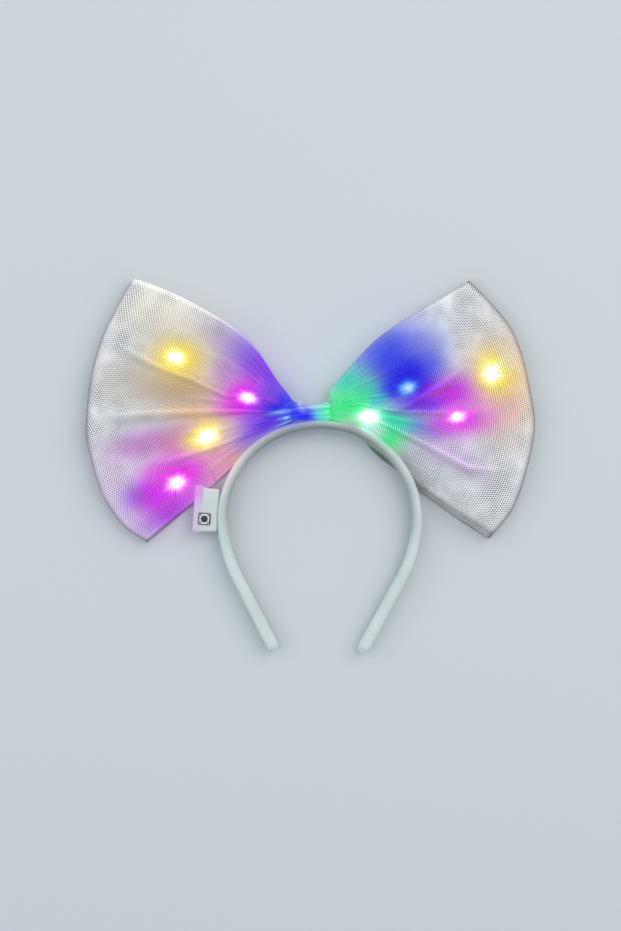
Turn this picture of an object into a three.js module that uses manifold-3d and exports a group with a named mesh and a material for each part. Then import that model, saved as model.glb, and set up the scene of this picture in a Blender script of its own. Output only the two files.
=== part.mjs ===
// Light-up bow headband, lying on its back on a table.
// Millimetres. +X to the wearer's left, +Y towards the bow, +Z up, away from the table.
import * as THREE from 'three';
import Module from 'manifold-3d';
import { mergeVertices } from 'three/addons/utils/BufferGeometryUtils.js';

const wasm = await Module();
wasm.setup();

const GAP = 0.3; // clearance between pieces that touch
const SAME_POINT = 1e-4; // points closer than this are one

// Headband: an elliptic crown, a bend on each side and straight legs, measured at the middle of the strap
const CROWN = { x: 5.6, y: -30.7, rx: 56.3, ry: 54.9, dropDeg: 6 };
const BEND_RADIUS = 80;
const LEG = { length: 48, leftDeg: 27, rightDeg: 28.5 };
const STRAP = { depth: 11, crownThick: 4.7, tipThick: 6.8, corner: 1.9, slope: 0.0305 };
const STRAP_MESH = { stations: 44, perCorner: 3 };
const TIP = { rounding: 5, steps: [0.03, 0.18, 0.5, 1], least: 0.12 }; // how each end is rounded off

// Knot: a hollow wrap along X round the gathered middle of the bow, narrow at its waist
const KNOT = { x: 1.05, y: 32.15, length: 18.9, high: 10.4, deep: 13, corner: 3.4, wall: 1.2 };
const KNOT_PROFILE = [
  { along: -0.5, scale: 1 },
  { along: -0.42, scale: 1.03 },
  { along: -0.2, scale: 0.97 },
  { along: 0, scale: 0.93 },
  { along: 0.2, scale: 0.97 },
  { along: 0.42, scale: 1.03 },
  { along: 0.5, scale: 1 },
];
const KNOT_BORE = { open: 0.93, along: [0.5, 0, -0.5] }; // open share of the space inside the wall
const KNOT_PER_CORNER = 4;

// Cloth of the wings: one pleated layer in front, a fold at the outer edge, one flat layer behind
const CLOTH = { wall: 1, restZ: 0.5, pressedZ: 2.1, neckSpread: 3.6, length: 125 };
const NECK = { end: 12, lowerRun: 15, upperRun: 22, backRun: 18, lowerShare: 0.3 };
const PUFF = { middle: 20, fold: 9, power: 0.8, edgeDrop: 0.3 };
const FOLD_AT = 0.952; // share of the wing's length where the outer fold starts
const FOLD_SEAM = 0.8; // space left in plan where the fold's end meets the back layer
const PLEAT = { count: 5, depth: 2.4, start: 12, run: 40, fadeFrom: 70, fadeRun: 50, fade: 0.5, edge: 0.2 };
const BAND_PRESS = { margin: 4, run: 22 }; // the cloth is pressed flat under the strap and rises beside it
const POUCH_PRESS = { margin: 7.5, run: 9 }; // the same under the battery pouch
const GRID = { layer: 12, fold: 4, frontAcross: 30, backAcross: 15, crowd: 1.35 };

// Edges of each wing seen from the front, x and y from the knot outwards, the outer edge from the bottom.
// The slit in the left wing's front lets the leads in.
const WINGS = {
  bow_wing_left: {
    lower: [
      [0.7, 29.5], [-10.4, 29.2], [-20, 23.4], [-33, 11.2],
      [-44.5, -0.5], [-56.3, -11.6], [-76, -29], [-94.3, -44.4],
    ],
    upper: [
      [0.7, 34.5], [-10.4, 34.8], [-19.7, 50.5], [-30.5, 66.7],
      [-45.2, 80.6], [-73.4, 96.9], [-103.8, 107],
    ],
    outer: [
      [-94.3, -44.4], [-108.8, -34.2], [-120.6, -16.2], [-128.8, 11],
      [-129.6, 27], [-127.6, 47], [-120.6, 74.2], [-103.8, 107],
    ],
    slit: { row: 7, columns: [2, 3] },
  },
  bow_wing_right: {
    lower: [
      [1.4, 29.5], [12.5, 29.2], [21, 26.9], [28, 21.4], [34.6, 10.8],
      [45.6, 0.8], [55.5, -6.6], [65, -15.1], [85.3, -30.2], [103.8, -42.3],
    ],
    upper: [
      [1.4, 34.5], [12.5, 34.8], [16, 46], [26.4, 60.9],
      [43.5, 77.1], [75.7, 97.4], [92.2, 107.6],
    ],
    outer: [
      [103.8, -42.3], [117.7, -24.7], [125.6, -2.3], [130.2, 22.6],
      [127, 47], [119.5, 74.2], [107.9, 91.1], [92.2, 107.6],
    ],
    slit: null,
  },
};

// Battery pouch, turned about Z, with its press switch in a pocket of the front face
const POUCH = { x: -60.6, y: -25.4, turnDeg: -4.5, wide: 13.6, tall: 25.2, back: 3.2, front: 11.7 };
const POUCH_EDGE = { corner: 1.6, bevel: 0.9, bevelSteps: 2, perCorner: 4 };
const SWITCH = { x: 0.1, y: -5.1, size: 6, pocketDepth: 1.7, baseHeight: 2.3, round: 20 };
const PLATE = { size: 5.6, thick: 0.35, gap: 0.1 };
const RIVET = { out: 2.15, radius: 0.4, proud: 0.15, root: 0.5, round: 8 };
const BUTTON = { radius: 1.75, chamfer: 0.2, proud: 1, flange: 2.25, flangeHeight: 0.5 };
const WELL = { radius: 2.6, depth: 1.35, plateHole: 2.05 }; // room for the button in the base and the plate

// Light string: a wire along hand-set points, with drilled beads at the named ones
const WIRE = { radius: 0.45, steps: 112, returnSteps: 8, sides: 5 };
const BEAD = { radius: 1.7, length: 4.2, bore: 0.95, endScale: 0.82, straight: 0.5, segments: 10 };
const STRING_Z = CLOTH.restZ + CLOTH.wall / 2 + GAP + BEAD.radius;
const LEAD = { x: 3.6, z: 4.6, apart: 1.5, straight: 4 };
const CUT_PAST = 1; // how far a cutting tool runs past the face it cuts

// Finishes of the pieces
const FINISHES = {
  band: { color: 0xdde6e2, roughness: 0.55, metalness: 0 },
  knot: { color: 0xe9ecf2, roughness: 0.7, metalness: 0 },
  tulle: { color: 0xf0f0f4, roughness: 0.8, metalness: 0 },
  wire: { color: 0xd8d4cc, roughness: 0.4, metalness: 0.6 },
  bead: { color: 0xf4f6ff, roughness: 0.25, metalness: 0 },
  pouch: { color: 0xe6eae8, roughness: 0.5, metalness: 0 },
  base: { color: 0x1b1d1e, roughness: 0.5, metalness: 0 },
  plate: { color: 0xc9ccce, roughness: 0.3, metalness: 1 },
  button: { color: 0x161718, roughness: 0.45, metalness: 0 },
};

const radians = THREE.MathUtils.degToRad;
const mix = THREE.MathUtils.lerp;
const smooth = (t) => THREE.MathUtils.smoothstep(t, 0, 1);

// Geometry helpers

// An indexed geometry from points and triangles, turned so that its faces point out
function closedGeometry(points, triangles) {
  let volume = 0;
  for (const [a, b, c] of triangles) {
    volume += points[a].dot(new THREE.Vector3().crossVectors(points[b], points[c]));
  }
  const order = volume > 0 ? triangles : triangles.map(([a, b, c]) => [a, c, b]);
  const geometry = new THREE.BufferGeometry();
  geometry.setFromPoints(points);
  geometry.setIndex(order.flat());
  geometry.computeVertexNormals();
  return geometry;
}

// Joins rings of equal length into a body, closed on itself or capped at both ends
function loft(rings, closed) {
  const count = rings[0].length;
  const points = rings.flat();
  const triangles = [];
  const spans = closed ? rings.length : rings.length - 1;
  for (let i = 0; i < spans; i += 1) {
    const here = i * count;
    const next = ((i + 1) % rings.length) * count;
    for (let j = 0; j < count; j += 1) {
      const k = (j + 1) % count;
      triangles.push([here + j, here + k, next + k], [here + j, next + k, next + j]);
    }
  }
  if (!closed) {
    for (const [ring, first] of [[rings[0], 0], [rings.at(-1), points.length - count]]) {
      const middle = new THREE.Vector3();
      ring.forEach((point) => middle.addScaledVector(point, 1 / count));
      const centre = points.push(middle) - 1;
      for (let j = 0; j < count; j += 1) {
        const k = (j + 1) % count;
        triangles.push(first === 0 ? [centre, first + k, first + j] : [centre, first + j, first + k]);
      }
    }
  }
  return closedGeometry(points, triangles);
}

// A rounded rectangle about its middle, as points in the plane
function roundedRectangle(wide, tall, corner, perCorner) {
  const points = [];
  for (let quarter = 0; quarter < 4; quarter += 1) {
    const sx = quarter === 0 || quarter === 3 ? 1 : -1;
    const sy = quarter < 2 ? 1 : -1;
    for (let i = 0; i < perCorner; i += 1) {
      const angle = (quarter + i / (perCorner - 1)) * Math.PI / 2;
      points.push(new THREE.Vector2(
        sx * (wide / 2 - corner) + corner * Math.cos(angle),
        sy * (tall / 2 - corner) + corner * Math.sin(angle),
      ));
    }
  }
  return points;
}

// A wall of even thickness about a grid of points; quads that are not present leave a hole with a rim
function clothWall(grid, thickness, present) {
  const rows = grid.length - 1;
  const columns = grid[0].length - 1;
  const at = (i, j) => grid[Math.min(Math.max(i, 0), rows)][Math.min(Math.max(j, 0), columns)];
  const points = [];
  const index = (i, j, side) => 2 * (i * (columns + 1) + j) + side;
  for (let i = 0; i <= rows; i += 1) {
    for (let j = 0; j <= columns; j += 1) {
      const along = new THREE.Vector3().subVectors(at(i + 1, j), at(i - 1, j));
      const across = new THREE.Vector3().subVectors(at(i, j + 1), at(i, j - 1));
      const normal = along.cross(across).normalize();
      points.push(grid[i][j].clone().addScaledVector(normal, thickness / 2));
      points.push(grid[i][j].clone().addScaledVector(normal, -thickness / 2));
    }
  }
  const inside = (i, j) => i >= 0 && j >= 0 && i < rows && j < columns && present(i, j);
  const triangles = [];
  const quad = (a, b, c, d) => triangles.push([a, b, c], [a, c, d]);
  for (let i = 0; i < rows; i += 1) {
    for (let j = 0; j < columns; j += 1) {
      if (!inside(i, j)) continue;
      const [p, q, r, s] = [[i, j], [i + 1, j], [i + 1, j + 1], [i, j + 1]];
      quad(index(...p, 0), index(...q, 0), index(...r, 0), index(...s, 0));
      quad(index(...p, 1), index(...s, 1), index(...r, 1), index(...q, 1));
      const sides = [[p, q, i, j - 1], [q, r, i + 1, j], [r, s, i, j + 1], [s, p, i - 1, j]];
      for (const [from, to, ni, nj] of sides) {
        if (!inside(ni, nj)) quad(index(...to, 0), index(...from, 0), index(...from, 1), index(...to, 1));
      }
    }
  }
  return withoutLoosePoints(points, triangles);
}

function withoutLoosePoints(points, triangles) {
  const used = [...new Set(triangles.flat())].sort((a, b) => a - b);
  const place = new Map(used.map((old, i) => [old, i]));
  const kept = triangles.map((triangle) => triangle.map((old) => place.get(old)));
  return closedGeometry(used.map((old) => points[old]), kept);
}

function toSolid(geometry) {
  const bare = geometry.clone();
  bare.deleteAttribute('normal');
  bare.deleteAttribute('uv');
  const merged = mergeVertices(bare, SAME_POINT);
  return new wasm.Manifold(new wasm.Mesh({
    numProp: 3,
    vertProperties: new Float32Array(merged.attributes.position.array),
    triVerts: new Uint32Array(merged.index.array),
  }));
}

function toGeometry(body) {
  const mesh = body.getMesh();
  const geometry = new THREE.BufferGeometry();
  geometry.setAttribute('position', new THREE.BufferAttribute(mesh.vertProperties, 3));
  geometry.setIndex(new THREE.BufferAttribute(mesh.triVerts, 1));
  return geometry.toNonIndexed();
}

function cutAway(body, tools) {
  return tools.reduce((rest, tool) => rest.subtract(toSolid(tool)), body);
}

// A turned body about Z from points of radius and height
function lathe(profile, segments) {
  const outline = profile.map(([radius, z]) => new THREE.Vector2(radius, z));
  return new THREE.LatheGeometry(outline, segments).rotateX(Math.PI / 2);
}

function cylinder(radius, low, high, segments) {
  return new THREE.CylinderGeometry(radius, radius, high - low, segments)
    .rotateX(Math.PI / 2)
    .translate(0, 0, (low + high) / 2);
}

function box(wide, tall, low, high) {
  return new THREE.BoxGeometry(wide, tall, high - low).translate(0, 0, (low + high) / 2);
}

// Headband

function strapPath() {
  const drop = radians(CROWN.dropDeg);
  const reach = { x: CROWN.rx * Math.cos(drop), y: CROWN.y - CROWN.ry * Math.sin(drop) };
  const bend = { x: reach.x - BEND_RADIUS * Math.cos(drop), y: reach.y + BEND_RADIUS * Math.sin(drop) };
  const leg = (side, degrees) => {
    const angle = radians(degrees);
    const start = new THREE.Vector2(
      CROWN.x + side * (bend.x + BEND_RADIUS * Math.cos(angle)),
      bend.y - BEND_RADIUS * Math.sin(angle),
    );
    const inward = new THREE.Vector2(-side * Math.sin(angle), -Math.cos(angle));
    return { angle, start, tip: start.clone().addScaledVector(inward, LEG.length) };
  };
  const left = leg(-1, LEG.leftDeg);
  const right = leg(1, LEG.rightDeg);
  const path = new THREE.Path();
  path.moveTo(left.tip.x, left.tip.y);
  path.lineTo(left.start.x, left.start.y);
  path.absarc(CROWN.x - bend.x, bend.y, BEND_RADIUS, Math.PI + left.angle, Math.PI + drop, true);
  path.absellipse(CROWN.x, CROWN.y, CROWN.rx, CROWN.ry, Math.PI + drop, -drop, true);
  path.absarc(CROWN.x + bend.x, bend.y, BEND_RADIUS, -drop, -right.angle, true);
  path.lineTo(right.tip.x, right.tip.y);
  return path;
}

const STRAP_PATH = strapPath();
const STRAP_LENGTH = STRAP_PATH.getLength();
const TIP_Y = STRAP_PATH.getPointAt(0).y;
const strapLift = (y) => Math.max(0, STRAP.slope * (y - TIP_Y));

// Places along the strap as shares of its length, close together where the tips are rounded off
function strapStations() {
  const rounding = TIP.steps.map((share) => share * TIP.rounding / STRAP_LENGTH);
  const first = rounding.at(-1);
  const between = Array.from({ length: STRAP_MESH.stations - 1 }, (_, i) => (
    mix(first, 1 - first, (i + 1) / STRAP_MESH.stations)
  ));
  return [0, ...rounding, ...between, ...rounding.toReversed().map((share) => 1 - share), 1];
}

function headband() {
  const rings = strapStations().map((share) => {
    const point = STRAP_PATH.getPointAt(share);
    const tangent = STRAP_PATH.getTangentAt(share);
    const fromTip = Math.min(share, 1 - share);
    const round = Math.min(1, fromTip * STRAP_LENGTH / TIP.rounding);
    const scale = Math.max(TIP.least, Math.sqrt(1 - (1 - round) ** 2));
    const thick = mix(STRAP.tipThick, STRAP.crownThick, 2 * fromTip);
    const middle = strapLift(point.y) + STRAP.depth / 2;
    const section = [thick, STRAP.depth, STRAP.corner].map((size) => size * scale);
    return roundedRectangle(...section, STRAP_MESH.perCorner)
      .map(({ x, y }) => new THREE.Vector3(point.x - tangent.y * x, point.y + tangent.x * x, middle + y));
  });
  return loft(rings, false);
}

// Bow

const KNOT_Z = strapLift(CROWN.y + CROWN.ry) + STRAP.depth / 2;

function bowKnot() {
  const ring = (along, wide, deep, corner) => roundedRectangle(wide, deep, corner, KNOT_PER_CORNER)
    .map(({ x, y }) => new THREE.Vector3(KNOT.x + along * KNOT.length, KNOT.y + x, KNOT_Z + y));
  const outer = KNOT_PROFILE.map(({ along, scale }) => (
    ring(along, KNOT.high * Math.min(1, scale), KNOT.deep * scale, KNOT.corner)
  ));
  const boreWide = KNOT_BORE.open * (KNOT.high - 2 * KNOT.wall);
  const boreDeep = KNOT_BORE.open * (KNOT.deep - 2 * KNOT.wall);
  const bore = KNOT_BORE.along.map((along) => ring(along, boreWide, boreDeep, KNOT.corner - KNOT.wall));
  return loft([...outer, ...bore], true);
}

const spline = (points) => new THREE.SplineCurve(points.map(([x, y]) => new THREE.Vector2(x, y)));

// A point of a wing seen from the front, filled in between its edges: u from the knot out, v from below up
function wingPlan({ lower, upper, outer }, u, v) {
  const low = lower.getPointAt(u);
  const high = upper.getPointAt(u);
  const rim = outer.getPointAt(v);
  const neckLow = lower.getPointAt(0);
  const neckHigh = upper.getPointAt(0);
  const rimLow = outer.getPointAt(0);
  const rimHigh = outer.getPointAt(1);
  const fill = (axis) => mix(low[axis], high[axis], v)
    + mix(mix(neckLow[axis], neckHigh[axis], v), rim[axis], u)
    - mix(mix(neckLow[axis], neckHigh[axis], v), mix(rimLow[axis], rimHigh[axis], v), u);
  return new THREE.Vector2(fill('x'), fill('y'));
}

// A point in the pouch's own frame, and back
function toPouch(x, y) {
  const offset = new THREE.Vector2(x - POUCH.x, y - POUCH.y);
  return offset.rotateAround(new THREE.Vector2(), -radians(POUCH.turnDeg));
}

function fromPouch(x, y, z) {
  const turned = new THREE.Vector2(x, y).rotateAround(new THREE.Vector2(), radians(POUCH.turnDeg));
  return new THREE.Vector3(POUCH.x + turned.x, POUCH.y + turned.y, z);
}

// How far the front layer is free to rise: 0 under the strap or the pouch, 1 well clear of both
function freedom({ x, y }) {
  const radius = (CROWN.rx + CROWN.ry) / 2;
  const fromCentre = Math.hypot((x - CROWN.x) / CROWN.rx, (y - CROWN.y) / CROWN.ry) * radius;
  const fromStrap = fromCentre - radius - STRAP.crownThick / 2;
  const own = toPouch(x, y);
  const beside = Math.max(0, Math.abs(own.x) - POUCH.wide / 2);
  const above = Math.max(0, Math.abs(own.y) - POUCH.tall / 2);
  const clear = THREE.MathUtils.clamp((fromStrap - BAND_PRESS.margin) / BAND_PRESS.run, 0, 1);
  const besideStrap = Math.sin(clear * Math.PI / 2);
  return besideStrap * smooth((Math.hypot(beside, above) - POUCH_PRESS.margin) / POUCH_PRESS.run);
}

// Radial pleats, deepest at half the wing's length and dying away at its lower and upper edges
function pleatHeight(distance, v) {
  const growth = smooth((distance - PLEAT.start) / PLEAT.run);
  const fade = 1 - PLEAT.fade * smooth((distance - PLEAT.fadeFrom) / PLEAT.fadeRun);
  const edges = smooth(Math.min(v, 1 - v) / PLEAT.edge);
  return PLEAT.depth * growth * fade * edges * Math.sin(2 * Math.PI * PLEAT.count * v);
}

function frontHeight(plan, u, v) {
  const distance = u * CLOTH.length;
  const puff = PUFF.middle * Math.sin(Math.PI * u) ** PUFF.power + PUFF.fold * u * u;
  const edges = 1 - PUFF.edgeDrop * (2 * v - 1) ** 2;
  const spreadOut = CLOTH.pressedZ + freedom(plan) * (puff * edges + pleatHeight(distance, v));
  const run = mix(NECK.lowerRun, NECK.upperRun, smooth(v / NECK.lowerShare));
  return mix(KNOT_Z + CLOTH.neckSpread, spreadOut, smooth((distance - NECK.end) / run));
}

function backHeight(u) {
  const spread = smooth((u * CLOTH.length - NECK.end) / NECK.backRun);
  return mix(KNOT_Z - CLOTH.neckSpread, CLOTH.restZ, spread);
}

// Places along a layer as shares of its length, close together near the knot
const LAYER = Array.from({ length: GRID.layer + 1 }, (_, i) => (i / GRID.layer) ** GRID.crowd);

// A grid of a wing's points: u runs from the knot out, turn goes round the outer fold to the back
function wingGrid({ lower, upper, outer }, rows, across) {
  const edges = { lower: spline(lower), upper: spline(upper), outer: spline(outer) };
  return rows.map(({ u, turn }) => Array.from({ length: across + 1 }, (_, j) => {
    const v = j / across;
    const front = frontHeight(wingPlan(edges, u, v), u, v);
    const plan = wingPlan(edges, mix(u, 1, u === FOLD_AT ? Math.sin(turn) : 0), v);
    return new THREE.Vector3(plan.x, plan.y, mix(backHeight(u), front, (1 + Math.cos(turn)) / 2));
  }));
}

// The front of a wing, from the knot out and round the fold
function wingFront(wing) {
  const rows = LAYER.map((share) => ({ u: FOLD_AT * share, turn: 0 }));
  for (let i = 1; i <= GRID.fold; i += 1) rows.push({ u: FOLD_AT, turn: Math.PI * i / GRID.fold });
  const { slit } = wing;
  const present = (i, j) => !(slit && i === slit.row && slit.columns.includes(j));
  return clothWall(wingGrid(wing, rows, GRID.frontAcross), CLOTH.wall, present);
}

// The back of a wing, from the knot out to where the fold ends
function wingBack(wing) {
  const end = FOLD_AT - FOLD_SEAM / CLOTH.length;
  const rows = LAYER.map((share) => ({ u: end * share, turn: Math.PI }));
  return clothWall(wingGrid(wing, rows, GRID.backAcross), CLOTH.wall, () => true);
}

// Battery pouch, in its own frame, and its switch, about the middle of the switch

function batteryPouch() {
  const { corner, bevel, bevelSteps, perCorner } = POUCH_EDGE;
  const outline = roundedRectangle(POUCH.wide - 2 * bevel, POUCH.tall - 2 * bevel, corner, perCorner);
  const body = new THREE.ExtrudeGeometry(new THREE.Shape(outline), {
    depth: POUCH.front - POUCH.back - 2 * bevel,
    bevelThickness: bevel,
    bevelSize: bevel,
    bevelSegments: bevelSteps,
    curveSegments: 1,
  }).translate(0, 0, POUCH.back + bevel);
  const pocketSize = SWITCH.size + 2 * GAP;
  const pocket = box(pocketSize, pocketSize, POUCH.front - SWITCH.pocketDepth, POUCH.front + CUT_PAST)
    .translate(SWITCH.x, SWITCH.y, 0);
  return toGeometry(cutAway(toSolid(body), [pocket]));
}

const BASE_LOW = POUCH.front - SWITCH.pocketDepth + GAP;
const BASE_HIGH = BASE_LOW + SWITCH.baseHeight;
const PLATE_LOW = BASE_HIGH + PLATE.gap;
const PLATE_HIGH = PLATE_LOW + PLATE.thick;

function rivets(radius, low, high) {
  const sides = [-1, 1];
  return sides.flatMap((sx) => sides.map((sy) => (
    cylinder(radius, low, high, RIVET.round).translate(sx * RIVET.out, sy * RIVET.out, 0)
  )));
}

function switchBase() {
  const well = cylinder(WELL.radius, BASE_HIGH - WELL.depth, BASE_HIGH + CUT_PAST, SWITCH.round);
  const base = cutAway(toSolid(box(SWITCH.size, SWITCH.size, BASE_LOW, BASE_HIGH)), [well]);
  const heads = rivets(RIVET.radius, BASE_HIGH - RIVET.root, PLATE_HIGH + RIVET.proud);
  return toGeometry(heads.reduce((body, head) => body.add(toSolid(head)), base));
}

function switchPlate() {
  const plate = toSolid(box(PLATE.size, PLATE.size, PLATE_LOW, PLATE_HIGH));
  const through = [PLATE_LOW - CUT_PAST, PLATE_HIGH + CUT_PAST];
  const buttonHole = cylinder(WELL.plateHole, ...through, SWITCH.round);
  return toGeometry(cutAway(plate, [buttonHole, ...rivets(RIVET.radius + PLATE.gap, ...through)]));
}

function switchButton() {
  const flangeHigh = PLATE_LOW - GAP / 2;
  const flangeLow = flangeHigh - BUTTON.flangeHeight;
  const top = PLATE_HIGH + BUTTON.proud;
  return lathe([
    [0, flangeLow],
    [BUTTON.flange, flangeLow],
    [BUTTON.flange, flangeHigh],
    [BUTTON.radius, flangeHigh],
    [BUTTON.radius, top - BUTTON.chamfer],
    [BUTTON.radius - BUTTON.chamfer, top],
    [0, top],
  ], SWITCH.round);
}

// Light string

// Points of the string from the pouch to its far end; the named ones carry a bead
const ROUTE = [
  { x: -55.2, y: -2, z: 4.6 },
  { x: -58, y: 5, z: 3.6 },
  { x: -65.5, y: 5, z: STRING_Z },
  { x: -72, y: -2.5, z: STRING_Z },
  { x: -77.7, y: -9.3, z: STRING_Z, bead: 'led_1' },
  { x: -84, y: -15, z: STRING_Z },
  { x: -91.5, y: -10, z: STRING_Z },
  { x: -89, y: 0.5, z: STRING_Z },
  { x: -80, y: 9.5, z: STRING_Z },
  { x: -71, y: 14.4, z: STRING_Z },
  { x: -60.9, y: 18, z: STRING_Z, bead: 'led_2' },
  { x: -53.5, y: 22, z: STRING_Z },
  { x: -50.5, y: 30, z: STRING_Z },
  { x: -56, y: 40, z: STRING_Z },
  { x: -67, y: 51, z: STRING_Z },
  { x: -77.1, y: 63.2, z: STRING_Z, bead: 'led_3' },
  { x: -81.5, y: 72, z: STRING_Z },
  { x: -77.5, y: 79.5, z: STRING_Z },
  { x: -68, y: 77, z: STRING_Z },
  { x: -52, y: 59, z: STRING_Z },
  { x: -36, y: 40, z: STRING_Z, bead: 'led_4' },
  { x: -30, y: 35.6, z: 3.7 },
  { x: -22.5, y: 33, z: 6.4 },
  { x: -14.6, y: 32.2, z: KNOT_Z, bead: 'led_5' },
  { x: 1, y: 32.1, z: KNOT_Z },
  { x: 14, y: 32, z: KNOT_Z },
  { x: 21.5, y: 30.8, z: 6.4 },
  { x: 27.8, y: 29.3, z: 3.8 },
  { x: 34.2, y: 29, z: STRING_Z + 0.15, bead: 'led_6' },
  { x: 40.8, y: 31.4, z: STRING_Z },
  { x: 48.5, y: 37.6, z: STRING_Z },
  { x: 55.7, y: 45.2, z: STRING_Z, bead: 'led_7' },
  { x: 69, y: 56, z: STRING_Z },
  { x: 88, y: 58.6, z: STRING_Z },
  { x: 105, y: 53.9, z: STRING_Z, bead: 'led_8' },
  { x: 112.5, y: 44, z: STRING_Z },
  { x: 104, y: 33.5, z: STRING_Z },
  { x: 85.3, y: 29.6, z: STRING_Z, bead: 'led_9' },
  { x: 78.5, y: 28.4, z: STRING_Z },
];

// The two straight points of a lead as it leaves the top of the pouch
function leadStart(x) {
  const top = POUCH.tall / 2;
  return [fromPouch(x, top + GAP, LEAD.z), fromPouch(x, top + LEAD.straight, LEAD.z)];
}

const routePoints = ROUTE.map(({ x, y, z }) => new THREE.Vector3(x, y, z));
const wireCurve = new THREE.CatmullRomCurve3([...leadStart(LEAD.x), ...routePoints]);
const returnCurve = new THREE.CatmullRomCurve3([
  ...leadStart(LEAD.x - LEAD.apart),
  routePoints[0].clone().add(new THREE.Vector3(-LEAD.apart, 0, 0)),
  routePoints[1].clone().add(new THREE.Vector3(-LEAD.apart, -LEAD.apart, 0)),
]);

function wire(curve, steps) {
  const section = Array.from({ length: WIRE.sides }, (_, i) => {
    const angle = 2 * Math.PI * i / WIRE.sides;
    return new THREE.Vector2(WIRE.radius * Math.cos(angle), WIRE.radius * Math.sin(angle));
  });
  const options = { steps, extrudePath: curve, curveSegments: 1 };
  return new THREE.ExtrudeGeometry(new THREE.Shape(section), options);
}

function bead() {
  const half = BEAD.length / 2;
  return lathe([
    [BEAD.bore, -half],
    [BEAD.radius * BEAD.endScale, -half],
    [BEAD.radius, -half * BEAD.straight],
    [BEAD.radius, half * BEAD.straight],
    [BEAD.radius * BEAD.endScale, half],
    [BEAD.bore, half],
    [BEAD.bore, -half],
  ], BEAD.segments);
}

// The wire's direction at a point of the route, which comes after the lead's own points
function directionAt(routeIndex) {
  const last = wireCurve.points.length - 1;
  return wireCurve.getTangent((routeIndex + wireCurve.points.length - ROUTE.length) / last);
}

// Assembly

function piece(name, geometry, finish) {
  const mesh = new THREE.Mesh(geometry, new THREE.MeshStandardMaterial(finish));
  mesh.name = name;
  return mesh;
}

const headpiece = new THREE.Group();
headpiece.add(piece('headband', headband(), FINISHES.band));
headpiece.add(piece('bow_knot', bowKnot(), FINISHES.knot));
for (const [name, wing] of Object.entries(WINGS)) {
  headpiece.add(piece(`${name}_front`, wingFront(wing), FINISHES.tulle));
  headpiece.add(piece(`${name}_back`, wingBack(wing), FINISHES.tulle));
}

headpiece.add(piece('led_wire', wire(wireCurve, WIRE.steps), FINISHES.wire));
headpiece.add(piece('return_lead', wire(returnCurve, WIRE.returnSteps), FINISHES.wire));
ROUTE.forEach((point, i) => {
  if (!point.bead) return;
  const mesh = piece(point.bead, bead(), FINISHES.bead);
  mesh.position.set(point.x, point.y, point.z);
  mesh.quaternion.setFromUnitVectors(new THREE.Vector3(0, 0, 1), directionAt(i));
  headpiece.add(mesh);
});

const pouch = new THREE.Group();
pouch.position.set(POUCH.x, POUCH.y, 0);
pouch.rotation.z = radians(POUCH.turnDeg);
pouch.add(piece('battery_pouch', batteryPouch(), FINISHES.pouch));
const pressSwitch = new THREE.Group();
pressSwitch.position.set(SWITCH.x, SWITCH.y, 0);
pressSwitch.add(piece('switch_base', switchBase(), FINISHES.base));
pressSwitch.add(piece('switch_plate', switchPlate(), FINISHES.plate));
pressSwitch.add(piece('switch_button', switchButton(), FINISHES.button));
pouch.add(pressSwitch);
headpiece.add(pouch);

export default headpiece;
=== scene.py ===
"""Looks of a light-up bow headband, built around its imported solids.

Sizes are in millimetres until a mesh is made.
"""

import math

import bpy
import numpy as np
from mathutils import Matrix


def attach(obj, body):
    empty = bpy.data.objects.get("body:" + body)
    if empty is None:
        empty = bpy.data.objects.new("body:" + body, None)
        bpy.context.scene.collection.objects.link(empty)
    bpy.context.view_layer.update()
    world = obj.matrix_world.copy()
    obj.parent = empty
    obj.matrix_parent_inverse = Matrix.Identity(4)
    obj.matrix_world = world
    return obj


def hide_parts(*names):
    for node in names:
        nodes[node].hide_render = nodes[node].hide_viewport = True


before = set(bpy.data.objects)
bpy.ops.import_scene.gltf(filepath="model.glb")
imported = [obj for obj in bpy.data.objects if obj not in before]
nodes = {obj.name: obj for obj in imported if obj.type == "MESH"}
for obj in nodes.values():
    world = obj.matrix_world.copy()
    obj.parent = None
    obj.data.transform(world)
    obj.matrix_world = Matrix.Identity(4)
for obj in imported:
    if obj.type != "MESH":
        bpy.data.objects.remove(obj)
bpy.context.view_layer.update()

MM = 0.001
UP = (0.0, 0.0, 1.0)
BODY = "headpiece"

# In the tables below, a pair under a name such as grow or fade is where a change starts and how far it runs

# Camera: straight above the bow, with the photo's long side covering VIEW_LONG at the height of the lights
VIEW_LONG = 540.0
VIEW_CENTRE = (0.3, 0.3)
VIEW_HEIGHT = 1000.0
VIEW_PLANE = 6.0
SENSOR = 36.0

# Headband, measured at the middle of the strap
CROWN = {"x": 5.6, "y": -30.7, "rx": 56.3, "ry": 54.9, "drop": 6.0}
BEND_RADIUS = 80.0
LEG = {"length": 48.0, "left": 27.0, "right": 28.5}
STRAP = {"depth": 11.0, "crown": 4.7, "tip": 6.8, "slope": 0.0305, "square": 4.0, "clear": 0.05}
STRAP_SAMPLES = {"leg": 200, "crown": 800}
TIP = {"rounding": 5.0, "least": 0.004}
RIB = {"pitch": 0.9, "height": 0.07, "per_rib": 4, "turns": 14, "around": 30}
LAP = {"at": 0.5, "half": 0.07, "soft": 0.03, "height": 0.2}
# Band cover colour, with painted shade at the crown and on the inner side, painted highlight on the leg rims,
# painted shade of the ribs, and light of the bow
BAND_COLOUR_AND_SHADE = {"cover": (0.60, 0.67, 0.65), "crown": 0.56, "inner": 0.62, "rim": 0.16, "rib": 0.05,
              "lit": 0.55, "glow": 0.2}
# Places of the band's painted shade and highlights
BAND_PLACES = {"crown": (-5.0, 28.0), "upper": (-60.0, 50.0), "outer": (-0.55, 1.1), "rim": (0.36, 0.08),
               "tip": (0.0, 0.5)}

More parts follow.
